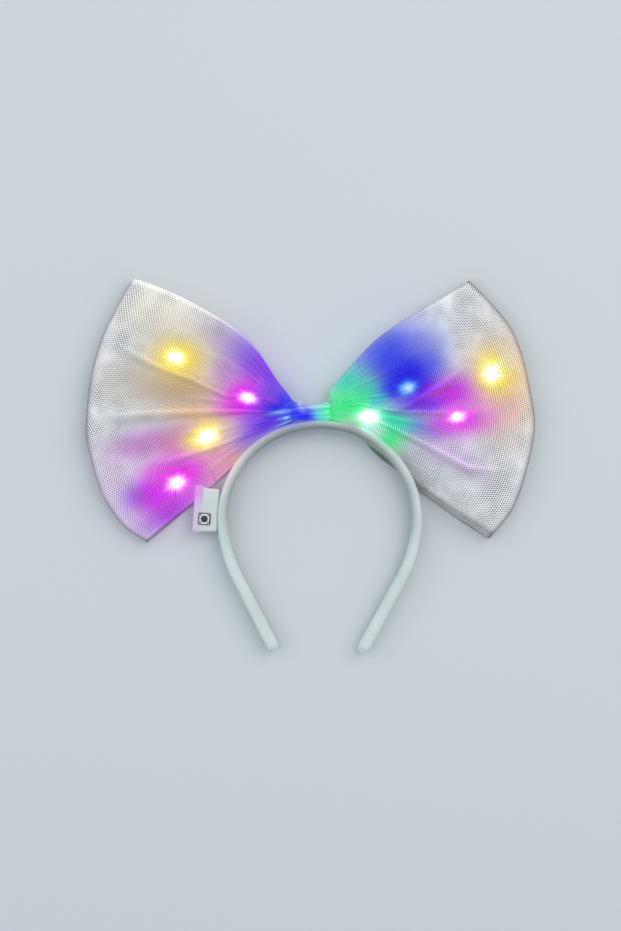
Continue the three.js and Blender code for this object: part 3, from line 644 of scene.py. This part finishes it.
def make_headband():
    length = strap_line(2)[1][-1]
    stations = int(length / RIB["pitch"] * RIB["per_rib"])
    line, at = strap_line(stations)
    ahead = unit(np.gradient(line, axis=0))
    outward = np.stack([-ahead[:, 1], ahead[:, 0]], -1)
    lift = np.maximum(0, STRAP["slope"] * (line[:, 1] - line[0, 1])) + STRAP["depth"] / 2
    from_tip = np.minimum(at, at[-1] - at)[:, None]
    thick = mix(STRAP["tip"], STRAP["crown"], 2 * from_tip / at[-1])
    tip = from_tip / TIP["rounding"]
    rounded = np.sqrt(1 - (1 - np.clip(tip, TIP["least"], 1)) ** 2)

    share = np.arange(RIB["around"]) / RIB["around"]
    rib = np.cos(math.tau * (at[:, None] / RIB["pitch"] + RIB["turns"] * share))
    lap = smooth(1 - (np.abs(share - LAP["at"]) - LAP["half"]) / LAP["soft"])
    proud = RIB["height"] * rib + LAP["height"] * lap
    across, deep = superellipse(1.0, 1.0, STRAP["square"], math.tau * share)
    across = rounded * across * (thick + 2 * proud)
    deep = rounded * deep * (STRAP["depth"] + 2 * proud)
    plan = line[:, None] + outward[:, None] * across[..., None]
    points = np.dstack([plan, lift[:, None] + deep]).reshape(-1, 3)
    points[:, 2] = np.maximum(points[:, 2], STRAP["clear"])

    band = add_piece("headband_cover", points, ring_faces(stations, RIB["around"]),
                     lit_cloth("band_ribbon"), ["headband"])
    beside = across / thick
    # Mask of the painted highlight along the rims and round the tips
    rim = np.maximum(rise(np.abs(beside) / rounded, *BAND_PLACES["rim"]), 1 - rise(tip, *BAND_PLACES["tip"]))
    paint_band(band, points, beside.ravel(), rim.ravel(), rib.ravel())


def paint_band(band, points, beside, rim, rib):
    """Painted shade darker at the crown and on the inner side, painted highlight along the rims of the legs,
    painted shade and highlight on the ribs, and light of the bow beside it.
    """
    outer = rise(beside, *BAND_PLACES["outer"])
    crown = rise(points[:, 1], *BAND_PLACES["crown"])
    upper = rise(points[:, 1], *BAND_PLACES["upper"])
    shade = mix(1.0, BAND_COLOUR_AND_SHADE["crown"], crown) * mix(mix(1.0, BAND_COLOUR_AND_SHADE["inner"], upper), 1.0, outer)
    # Painted highlight on the rims of the legs, and painted shade and highlight on the ribs
    shade *= 1 + (1 - upper) * BAND_COLOUR_AND_SHADE["rim"] * rim + BAND_COLOUR_AND_SHADE["rib"] * rib
    cover = np.array(BAND_COLOUR_AND_SHADE["cover"]) * shade[:, None]
    light, amount = paint_light(points)
    lit = (amount * outer**2)[:, None]
    store_colours(band, mix(cover, light, BAND_COLOUR_AND_SHADE["lit"] * lit), BAND_COLOUR_AND_SHADE["glow"] * lit * light)


# Bow

class Edge:
    """A smooth curve through points, walked by its length from 0 to 1."""

    def __init__(self, points):
        p = np.array(points, float)
        held = np.vstack([p[:1], p, p[-1:]])
        t = np.linspace(0, len(p) - 1, EDGE_SAMPLES)
        i = np.minimum(t.astype(int), len(p) - 2)
        tangents = (held[2:] - held[:-2]) / 2
        self.line = hermite(p[i], p[i + 1], tangents[i], tangents[i + 1], (t - i)[:, None])
        walked = walk(self.line)
        self.length = walked[-1]
        self.at = walked / self.length

    def __call__(self, share):
        return places(self.line, self.at, share)


def wing_plan(wing, u, v):
    """Points of a wing seen from the front, filled in between its edges."""
    across = v[:, None]
    rim = mix(wing["outer"](0), wing["outer"](1), across)
    return mix(wing["lower"](u), wing["upper"](u), across) + u[:, None] * (wing["outer"](v) - rim)


def freedom(plan):
    """How far the front layer is free to rise: 0 under the strap or the pouch, 1 well clear of both."""
    radius = (CROWN["rx"] + CROWN["ry"]) / 2
    out = np.hypot((plan[:, 0] - CROWN["x"]) / CROWN["rx"], (plan[:, 1] - CROWN["y"]) / CROWN["ry"])
    clear = (out - 1) * radius - STRAP["crown"] / 2 - BAND_PRESS["margin"]
    off_strap = np.sin(np.clip(clear / BAND_PRESS["run"], 0, 1) * math.pi / 2)
    x, y = rotate(plan[:, 0] - POUCH["x"], plan[:, 1] - POUCH["y"], -POUCH["turn"])
    beside = np.maximum(0, np.abs(x) - POUCH["wide"] / 2)
    above = np.maximum(0, np.abs(y) - POUCH["tall"] / 2)
    return off_strap * rise(np.hypot(beside, above), *POUCH_PRESS)


def pleats(distance, v):
    fade = 1 - PLEAT["faded"] * rise(distance, *PLEAT["fade"])
    edges = smooth(np.minimum(v, 1 - v) / PLEAT["edge"])
    wave = np.sin(math.tau * PLEAT["count"] * v)
    return PLEAT["depth"] * rise(distance, *PLEAT["grow"]) * fade * edges * wave


def creases(side, u, v, width):
    """Folds that run out from the knot and die away: their height, which also sets the painted highlight on
    the ridges, and the valleys below them, which set painted shade.
    """
    ridges, valleys = np.zeros(len(u)), np.zeros(len(u))
    for high, half, path in CREASES[side]:
        along, place = np.array(path).T
        off = (v - np.interp(u, along, place)) * width / half
        ends = high * rise(u - along[0], *CREASE["start"]) * rise(along[-1] - u, *CREASE["end"])
        ridges += ends * np.exp(-np.abs(off) ** CREASE["power"])
        valleys += ends * bell(off + CREASE["valley"], CREASE["valley_half"])
    return ridges, valleys


def gathers(distance, v):
    """Fine folds near the knot, from -1 to 1."""
    growth = rise(distance, *GATHER["grow"]) * smooth(1 - distance / GATHER["out"])
    return growth * np.sin(math.tau * (GATHER["count"] * v + GATHER["uneven"] * np.sin(GATHER["beat"] * v)))


def front_height(side, plan, u, v, width):
    distance = u * CLOTH["length"]
    puff = PUFF["middle"] * np.sin(math.pi * u) ** PUFF["power"] + PUFF["fold"] * u * u
    edges = 1 - PUFF["edge"] * (2 * v - 1) ** 2
    folds = pleats(distance, v) + creases(side, u, v, width)[0] + GATHER["depth"] * gathers(distance, v)
    spread = CLOTH["pressed"] + freedom(plan) * (puff * edges + folds)
    swell = SWELL["high"] * rise(distance, *SWELL["grow"])
    run = mix(NECK["lower"], NECK["upper"], smooth(v / NECK["share"]))
    return mix(KNOT_Z + CLOTH["neck"] + swell, spread, rise(distance, NECK["end"], run))


def back_height(u, v):
    distance = u * CLOTH["length"]
    wave = 1 + np.sin(math.tau * (BACK["count"] * v + BACK["slant"] * u))
    folds = BACK["gather"] * (1 + gathers(distance, v))
    spread = CLOTH["rest"] + BACK["ripple"] * rise(distance, *BACK["grow"]) * wave + folds
    return mix(KNOT_Z - CLOTH["neck"], spread, rise(distance, NECK["end"], NECK["back"]))


def cloth_places(cloth, width):
    """Shares u and v of points of the flat cloth, their turn round the fold, and how far a hem lies under."""
    v = cloth[:, 0] / width
    under = np.where((v < 0) | (v > 1), HEM["under"], 0)
    v = np.where(v < 0, -v, np.where(v > 1, 2 - v, v))
    layer = CLOTH["length"] * FOLD_AT
    u = FOLD_AT * np.clip(cloth[:, 1] / layer, 0, 1)
    turn = math.pi / 2 * np.clip((cloth[:, 1] - layer) / (CLOTH["fold"] / 2), 0, 1)
    return u, v, turn, under


def wing_points(side, wing, cloth, width, is_front):
    """Places in space of points of the flat cloth, given across it from below and along it from the knot."""
    u, v, turn, under = cloth_places(cloth, width)
    plan = wing_plan(wing, u + (1 - FOLD_AT) * np.sin(turn), v)
    front = front_height(side, wing_plan(wing, u, v), u, v, width)
    back = back_height(u, v)
    share = (1 + np.cos(turn)) / 2 if is_front else (1 - np.cos(turn)) / 2
    return np.column_stack([plan, mix(back, front, share) - under])


def wing_shade(side, cloth, width, is_front):
    """How light the cloth looks, as painted shade: painted highlights on the ridges where it doubles up,
    painted shade in the valleys and on the outer fold.
    """
    u, v, turn, _ = cloth_places(cloth, width)
    shade = mix(1.0, SHADE["fold"], rise(turn, *SHADE["fold_turn"]))
    for edge, from_edge in (("lower", v), ("upper", 1 - v)):
        wide, tone, start = EDGE_SHADES[side][edge]
        near = 1 - rise(from_edge, wide / 2, wide)
        shade = shade * mix(1.0, tone, near * rise(u, start - EDGE_SHADE_RUN, EDGE_SHADE_RUN))
    if is_front:
        ridges, valleys = creases(side, u, v, width)
        shade = shade * (1 + SHADE["ridge"] * ridges) * (1 - SHADE["valley"] * valleys)
        shade = shade * (1 + SHADE["gather"] * gathers(u * CLOTH["length"], v))
    return np.maximum(shade, SHADE["least"])


def net_cells(wide, long, hole):
    """A hexagonal net on the flat cloth: the corners of its holes, and the thread faces between the holes."""
    pitch, row = NET_PITCH, NET_PITCH * math.sqrt(3) / 2
    # The net goes on past the edges of the cloth by a cell or two
    columns, rows = int(wide / pitch) + 3, int(long / row) + 3
    i, j = np.meshgrid(np.arange(columns), np.arange(rows), indexing="ij")
    sides = 6
    angle = (np.arange(sides) + 0.5) * math.tau / sides
    middle = np.stack([(i - 1 + 0.5 * (j % 2)) * pitch, (j - 1) * row], -1)
    corners = hole * pitch / math.sqrt(3) * np.stack([np.cos(angle), np.sin(angle)], -1)
    points = (middle[:, :, None] + corners).reshape(-1, 2)
    inner = (i > 0) & (i < columns - 1) & (j > 0) & (j < rows - 1)

    def neighbour(step_i, step_j):
        there = (i + step_i < columns) & (i + step_i >= 0) & (j + step_j < rows)
        ni, nj = np.clip(i + step_i, 0, columns - 1), np.clip(j + step_j, 0, rows - 1)
        return there, inner[ni, nj], (ni * rows + nj) * sides

    own = (i * rows + j) * sides
    right, right_in, right_at = neighbour(1, 0)
    above, above_in, above_at = neighbour(j % 2, 1)
    before, before_in, before_at = neighbour(j % 2 - 1, 1)

    def pick(keep, *corners_at):
        return np.stack([c[keep] for c in corners_at], -1).tolist()

    faces = pick(right & (inner | right_in), own + 5, right_at + 3, right_at + 2, own)
    faces += pick(above & (inner | above_in), own, above_at + 4, above_at + 3, own + 1)
    faces += pick(before & (inner | before_in), own + 1, before_at + 5, before_at + 4, own + 2)
    faces += pick(right & above & (inner | right_in | above_in), own, right_at + 2, above_at + 4)
    faces += pick(above & before & (inner | above_in | before_in), own + 1, above_at + 3, before_at + 5)
    return points, faces


def without_loose(points, faces):
    """Drops the points that no face uses."""
    used = np.unique(np.concatenate([np.ravel(f) for f in faces]))
    place = np.zeros(len(points), int)
    place[used] = np.arange(len(used))
    return points[used], [place[f].tolist() for f in faces]


def make_wing(side, materials):
    """Both layers of a wing; the rows of their nets run along the left wing and across the right one."""
    wing = {name: Edge(points) for name, points in WINGS[side].items()}
    width = wing["outer"].length
    wide = width + 2 * HEM["wide"]
    long = CLOTH["length"] * FOLD_AT + CLOTH["fold"] / 2
    order = -1 if side == "left" else 1
    for layer, hole in NET_HOLES.items():
        is_front = layer == "front"
        cloth, faces = without_loose(*net_cells(*(wide, long)[::order], hole))
        cloth = np.clip(cloth[:, ::order], 0, (wide, long)) - (HEM["wide"], 0)
        points = wing_points(side, wing, cloth, width, is_front)
        piece = add_piece(f"wing_{side}_{layer}_net", points, faces, materials[layer],
                          [f"bow_wing_{side}_{layer}"])
        shade = wing_shade(side, cloth, width, is_front)
        add_light_colours(piece, points, shade, 1.0 if is_front else LIT["behind"])


def knot_rings():
    """Places of the knot's rings along X and their sizes, with ends that roll inwards."""
    turn = np.linspace(0, math.pi, KNOT_LIP["steps"] + 1)[1:]
    lip = 1 - KNOT_LIP["roll"] * (1 - np.cos(turn)) / 2
    out = KNOT_LIP["out"] * np.sin(turn)
    rings = KNOT_FOLDS["rings"]
    along = np.pad(np.linspace(-0.5, 0.5, rings), KNOT_LIP["steps"], "edge")
    x = KNOT["x"] + KNOT["length"] * along + np.concatenate([-out[::-1], np.zeros(rings), out])
    scale = np.concatenate([lip[::-1], np.ones(rings), lip])
    return along[:, None], x[:, None], scale[:, None]


def make_knot(material):
    along, x, scale = knot_rings()
    angle = math.tau * np.arange(KNOT_FOLDS["around"]) / KNOT_FOLDS["around"]
    turns = KNOT_FOLDS["count"] * angle
    fold = np.sin(turns + math.tau * KNOT_FOLDS["twist"] * along)
    fold += KNOT_FOLDS["second"] * np.sin(KNOT_FOLDS["ratio"] * turns - KNOT_FOLDS["slant"] * along)
    grow = scale * (1 + 2 * KNOT_FOLDS["depth"] * fold / KNOT["high"] - KNOT_FOLDS["sunk"])
    waist = KNOT_WAIST["least"] + KNOT_WAIST["flare"] * np.abs(2 * along) ** KNOT_WAIST["power"]
    across, deep = superellipse(1, 1, KNOT["square"], angle)
    lift = KNOT["rise"] * along + LUMP["high"] * bell(x - LUMP["x"], LUMP["half"])
    upper = smooth(2 * across) * smooth(deep + KNOT["front"])
    y = KNOT["y"] + KNOT["high"] * np.minimum(1, waist) * across * grow + lift * upper
    z = KNOT_Z + KNOT["deep"] * waist * deep * grow
    points = np.stack(np.broadcast_arrays(x, y, z), -1).reshape(-1, 3)
    knot = add_piece("knot_gathers", points, ring_faces(len(x), KNOT_FOLDS["around"]), material,
                     ["bow_knot"])
    # Painted shade along the knot's folds: lighter on their crests and darker between them
    add_light_colours(knot, points, 1 + KNOT_FOLDS["shade"] * fold.ravel(), KNOT_FOLDS["glow"])
    make_binding(material)


def make_binding(material):
    """Thread wound round the left end of the knot."""
    turn = np.linspace(0, BINDING["turns"], BINDING["per_turn"] * BINDING["turns"])
    y, z = superellipse(KNOT["high"] + 2 * BINDING["proud"], KNOT["deep"] + 2 * BINDING["proud"],
                        KNOT["square"], math.tau * turn)
    wander = BINDING["wander"] * np.sin(math.tau * turn * BINDING["beat"])
    line = np.stack([BINDING["x"] + (turn - BINDING["turns"] / 2) * BINDING["pitch"] + wander,
                     KNOT["y"] + BINDING["tight"] * y, KNOT_Z + BINDING["tight"] * z], -1)
    points, faces = tube(line, BINDING["radius"], BINDING["sides"], about=(1.0, 0.0, 0.0))
    thread = add_piece("knot_thread", points, faces, material)
    add_light_colours(thread, points, glow_share=KNOT_FOLDS["glow"])


# Battery pouch

def rounded_box(half, edge, cells):
    """A box with rounded edges about the origin, as a grid on each of its faces."""
    points, faces, count = [], [], 0
    for axis in range(3):
        a, b = (axis + 1) % 3, (axis + 2) % 3
        s, t = np.meshgrid(np.linspace(-1, 1, cells[a] + 1), np.linspace(-1, 1, cells[b] + 1), indexing="ij")
        for side in (-1, 1):
            face = np.zeros((*s.shape, 3))
            face[..., axis], face[..., a], face[..., b] = side, s, t
            points.append(face.reshape(-1, 3))
            index = count + np.arange(s.size).reshape(s.shape)
            quad = np.stack([index[:-1, :-1], index[1:, :-1], index[1:, 1:], index[:-1, 1:]], -1)
            faces += quad.reshape(-1, 4)[:, ::side].tolist()
            count += s.size
    points = np.concatenate(points) * half
    inner = np.clip(points, edge - half, half - edge)
    points = inner + edge * unit(points - inner)
    merged, place = np.unique(np.round(points, MERGE_DECIMALS), axis=0, return_inverse=True)
    return merged, [place.ravel()[f].tolist() for f in faces]


def from_pouch(points):
    x, y = rotate(points[:, 0], points[:, 1], POUCH["turn"])
    return np.column_stack([POUCH["x"] + x, POUCH["y"] + y, points[:, 2]])


def make_pouch():
    half = np.array([POUCH["wide"], POUCH["tall"], POUCH["front"] - POUCH["back"]]) / 2
    points, faces = rounded_box(half, POUCH_SOFT["edge"], POUCH_CELLS)
    x, y, z = (points / half).T
    front = smooth(z)
    from_crease = POUCH_CREASE["x"] + POUCH_CREASE["lean"] * y - points[:, 0]
    shape_pouch(points, x, y, front, from_crease)
    sink_switch(points, front, half[2])
    points[:, 2] += (POUCH["back"] + POUCH["front"]) / 2
    pouch = add_piece("pouch_sleeve", from_pouch(points), faces, lit_cloth("pouch_sleeve"),
                      ["battery_pouch"])

    # Painted pink light on the facet left of the crease, fading downwards, and a painted highlight along the
    # top edge
    fade = mix(POUCH_STRIP["least"], 1.0, np.clip((y - POUCH_STRIP["from"]) / POUCH_STRIP["run"], 0, 1) ** 2)
    strip = rise(from_crease, *POUCH_STRIP["beside"]) * fade
    top_highlight = rise(y, *POUCH_TOP) * (1 - strip)
    tint = mix(np.array(POUCH_COLOUR_AND_LIGHT["cover"]), np.array(POUCH_COLOUR_AND_LIGHT["strip"]), strip[:, None])
    tint = mix(tint, np.array(POUCH_COLOUR_AND_LIGHT["edge"]), top_highlight[:, None])
    store_colours(pouch, tint, np.zeros_like(tint))


def shape_pouch(points, x, y, front, from_crease):
    """Bends the box into a soft sleeve: a creased front, uneven ends and a side sewn to the band."""
    wave = POUCH_SOFT["wave"] * np.sin(POUCH_SOFT["wave_y"] * y + POUCH_SOFT["wave_x"] * x)
    crown = (1 - x**2) * (1 - y**4 + wave) - POUCH_SOFT["sunk"]
    crease = bell(from_crease, POUCH_CREASE["half"]) * rise(y, *POUCH_CREASE["grow"])
    points[:, 2] += front * (POUCH_SOFT["crown"] * crown - POUCH_CREASE["depth"] * crease)
    high = POUCH_ENDS["rise"] * rise(from_crease, *POUCH_ENDS["rise_beside"])
    low = POUCH_ENDS["drop"] * rise(from_crease, *POUCH_ENDS["drop_beside"]) - POUCH_ENDS["slant"] * x
    points[:, 1] += high * rise(y, *POUCH_ENDS["near"]) - low * rise(-y, *POUCH_ENDS["near"])
    points[:, 0] += POUCH_SEAM["out"] * rise(x, *POUCH_SEAM["near"]) * (1 - POUCH_SEAM["lean"] * y)


def sink_switch(points, front, half_deep):
    """A pocket in the front of the sleeve, which keeps it clear of the switch."""
    off = np.maximum(np.abs(points[:, 0] - SWITCH_POCKET["x"]), np.abs(points[:, 1] - SWITCH_POCKET["y"]))
    sunk = front * (1 - rise(off, SWITCH_POCKET["half"], SWITCH_POCKET["wall"]))
    points[:, 2] = mix(points[:, 2], half_deep - SWITCH_POCKET["depth"], sunk)


# Light string

def string_line(points):
    """An even walk along a smooth line through points: places, distances, and the distances at the points."""
    p = np.array(points, float)
    held = np.vstack([2 * p[0] - p[1], p, 2 * p[-1] - p[-2]])
    gap = np.sqrt(np.linalg.norm(np.diff(held, axis=0), axis=1))[:, None]
    w = np.linspace(0, 1, STRING_SAMPLES, endpoint=False)[:, None]
    parts = []
    for k in range(len(p) - 1):
        a, b, c, d = held[k:k + 4]
        before, here, after = gap[k:k + 3]
        m1 = here * ((b - a) / before - (c - a) / (before + here) + (c - b) / here)
        m2 = here * ((c - b) / here - (d - b) / (here + after) + (d - c) / after)
        parts.append(hermite(b, c, m1, m2, w))
    line = np.vstack([*parts, p[-1:]])
    walked = walk(line)
    at = np.linspace(0, walked[-1], int(walked[-1] / STRAND["step"]))
    return places(line, walked, at), at, walked[::STRING_SAMPLES]


def lead_start(x):
    """The first two points of a lead, straight out of the top of the pouch."""
    top = POUCH["tall"] / 2
    return from_pouch(np.array([[x, top + LEAD["gap"], LEAD["z"]], [x, top + LEAD["straight"], LEAD["z"]]]))


def make_strands(name, points, material, node):
    """A twisted pair of fine wires along the string's points, with painted light of the beads in their colour
    and as a glow.
    """
    line, at, _ = string_line(points)
    _, side, up = frames(line)
    turn = math.tau * at[:, None] / STRAND["lay"]
    strands, faces = [], []
    for k, half_turn in enumerate((0, math.pi)):
        strand = line + STRAND["apart"] * (side * np.cos(turn + half_turn) + up * np.sin(turn + half_turn))
        own_points, own_faces = tube(strand, STRAND["radius"], STRAND["sides"])
        faces += [[k * len(own_points) + corner for corner in face] for face in own_faces]
        strands.append(own_points)
    points = np.vstack(strands)
    piece = add_piece(name, points, faces, material, [node])
    # Painted light of the beads on the wires, in their colour and as a glow
    light, amount = paint_light(points)
    amount = amount[:, None]
    store_colours(piece, mix(np.array(WIRE_TONES["enamel"]), light * LIT["reflects"], amount),
                  WIRE_TONES["glow"] * amount * light)


def make_bead(name, middle, ahead, material):
    """A drop of clear resin round the wire."""
    along = np.linspace(-1, 1, BEAD["rings"])
    bulge = np.sqrt(np.maximum(0, 1 - np.abs(along) ** BEAD["power"])) * (1 - BEAD["taper"] * along)
    radius = np.maximum(BEAD["radius"] * bulge, BEAD["least"])
    line = middle + BEAD["length"] / 2 * along[:, None] * ahead
    points, faces = tube(line, radius, BEAD["around"])
    add_piece(f"{name}_drop", points, faces, material, [name])


def make_string():
    wire = lit_cloth("wire_enamel")
    route = np.array([row[:3] for row in ROUTE])
    points = np.vstack([lead_start(LEAD["x"]), route])
    make_strands("light_wire", points, wire, "led_wire")
    shift = np.array([[-LEAD["apart"], 0, 0], [-LEAD["apart"], -LEAD["apart"], 0]])
    back_points = np.vstack([lead_start(LEAD["x"] - LEAD["apart"]), route[:len(shift)] + shift])
    make_strands("return_wire", back_points, wire, "return_lead")
    line, at, walked = string_line(points)
    ahead = frames(line)[0]
    materials = {slot: bead_material(slot, light) for slot, light in BEAD_LIGHTS.items()}
    for (*place, name), so_far in zip(ROUTE, walked[-len(ROUTE):]):
        if not name:
            continue
        slot = BEADS[name][0]
        middle = np.array(place)
        make_bead(name, middle, ahead[np.argmin(np.abs(at - so_far))], materials[slot])
        above = middle + (0, 0, BEAD["radius"] + LAMP["above"])
        add_lamp(f"{name}_light", "POINT", above * MM, color=BEAD_LIGHTS[slot]["colour"],
                 energy=LAMP["watts"], shadow_soft_size=BEAD["radius"] * MM)


# Switch

def dress_switch():
    for node, look in SWITCH.items():
        material, tree, shader = new_material(look["name"], look["pale"], **look["finish"])
        tone = wandering(tree, look["scale"], look["dark"], look["pale"])
        tree.links.new(tone, shader.inputs["Base Color"])
        add_grain(tree, shader, look["grain"], **SWITCH_GRAIN)
        mesh = nodes[node].data
        mesh.materials.clear()
        mesh.materials.append(material)


# Studio

def add_lamp(name, kind, place, **settings):
    light = bpy.data.lights.new(name, kind)
    for setting, value in settings.items():
        setattr(light, setting, value)
    lamp = bpy.data.objects.new(name, light)
    lamp.location = place
    bpy.context.scene.collection.objects.link(lamp)
    return lamp


def floor_material():
    """Paint that grows paler with the distance from the object."""
    material, tree, shader = new_material("floor_paint", FLOOR["colour"], FLOOR["roughness"])
    place = tree.nodes.new("ShaderNodeTexCoord")
    scale = tree.nodes.new("ShaderNodeMapping")
    scale.inputs["Scale"].default_value = (1 / FLOOR["radius"],) * 3
    from_rim = tree.nodes.new("ShaderNodeTexGradient")
    from_rim.gradient_type = "SPHERICAL"
    tree.links.new(place.outputs["Object"], scale.inputs["Vector"])
    tree.links.new(scale.outputs["Vector"], from_rim.inputs["Vector"])
    near = 1 - FLOOR["near"] / FLOOR["radius"]
    colour = ramp(tree, from_rim.outputs["Fac"], FLOOR["far"], FLOOR["colour"], 0, near)
    tree.links.new(colour, shader.inputs["Base Color"])
    return material


def make_studio():
    scene = bpy.context.scene
    scene.view_settings.view_transform = "Standard"
    mesh = bpy.data.meshes.new("floor")
    corners = [(-1, -1, 0), (1, -1, 0), (1, 1, 0), (-1, 1, 0)]
    mesh.from_pydata(np.array(corners) * FLOOR["half"], [], [(0, 1, 2, 3)])
    mesh.materials.append(floor_material())
    floor = bpy.data.objects.new("floor", mesh)
    scene.collection.objects.link(floor)
    world = bpy.data.worlds.new("studio")
    world.use_nodes = True
    air = world.node_tree.nodes["Background"]
    air.inputs["Color"].default_value = (*AIR["colour"], 1)
    air.inputs["Strength"].default_value = AIR["strength"]
    scene.world = world
    for name, light in STUDIO_LIGHTS.items():
        lamp = add_lamp(name, "AREA", **light)
        to_object = -lamp.location.normalized()
        lamp.rotation_euler = to_object.to_track_quat("-Z", "Y").to_euler()


def make_camera():
    scene = bpy.context.scene
    data = bpy.data.cameras.new("camera")
    data.sensor_width = SENSOR
    data.lens = SENSOR * VIEW_HEIGHT / VIEW_LONG
    camera = bpy.data.objects.new("camera", data)
    camera.location = np.array([*VIEW_CENTRE, VIEW_HEIGHT + VIEW_PLANE]) * MM
    scene.collection.objects.link(camera)
    scene.camera = camera


make_camera()
make_studio()
make_headband()
tulle = {"front": lit_cloth("tulle_front"), "back": lit_cloth("tulle_back")}
make_wing("left", tulle)
make_wing("right", tulle)
make_knot(lit_cloth("knot_tulle"))
make_pouch()
make_string()
dress_switch()
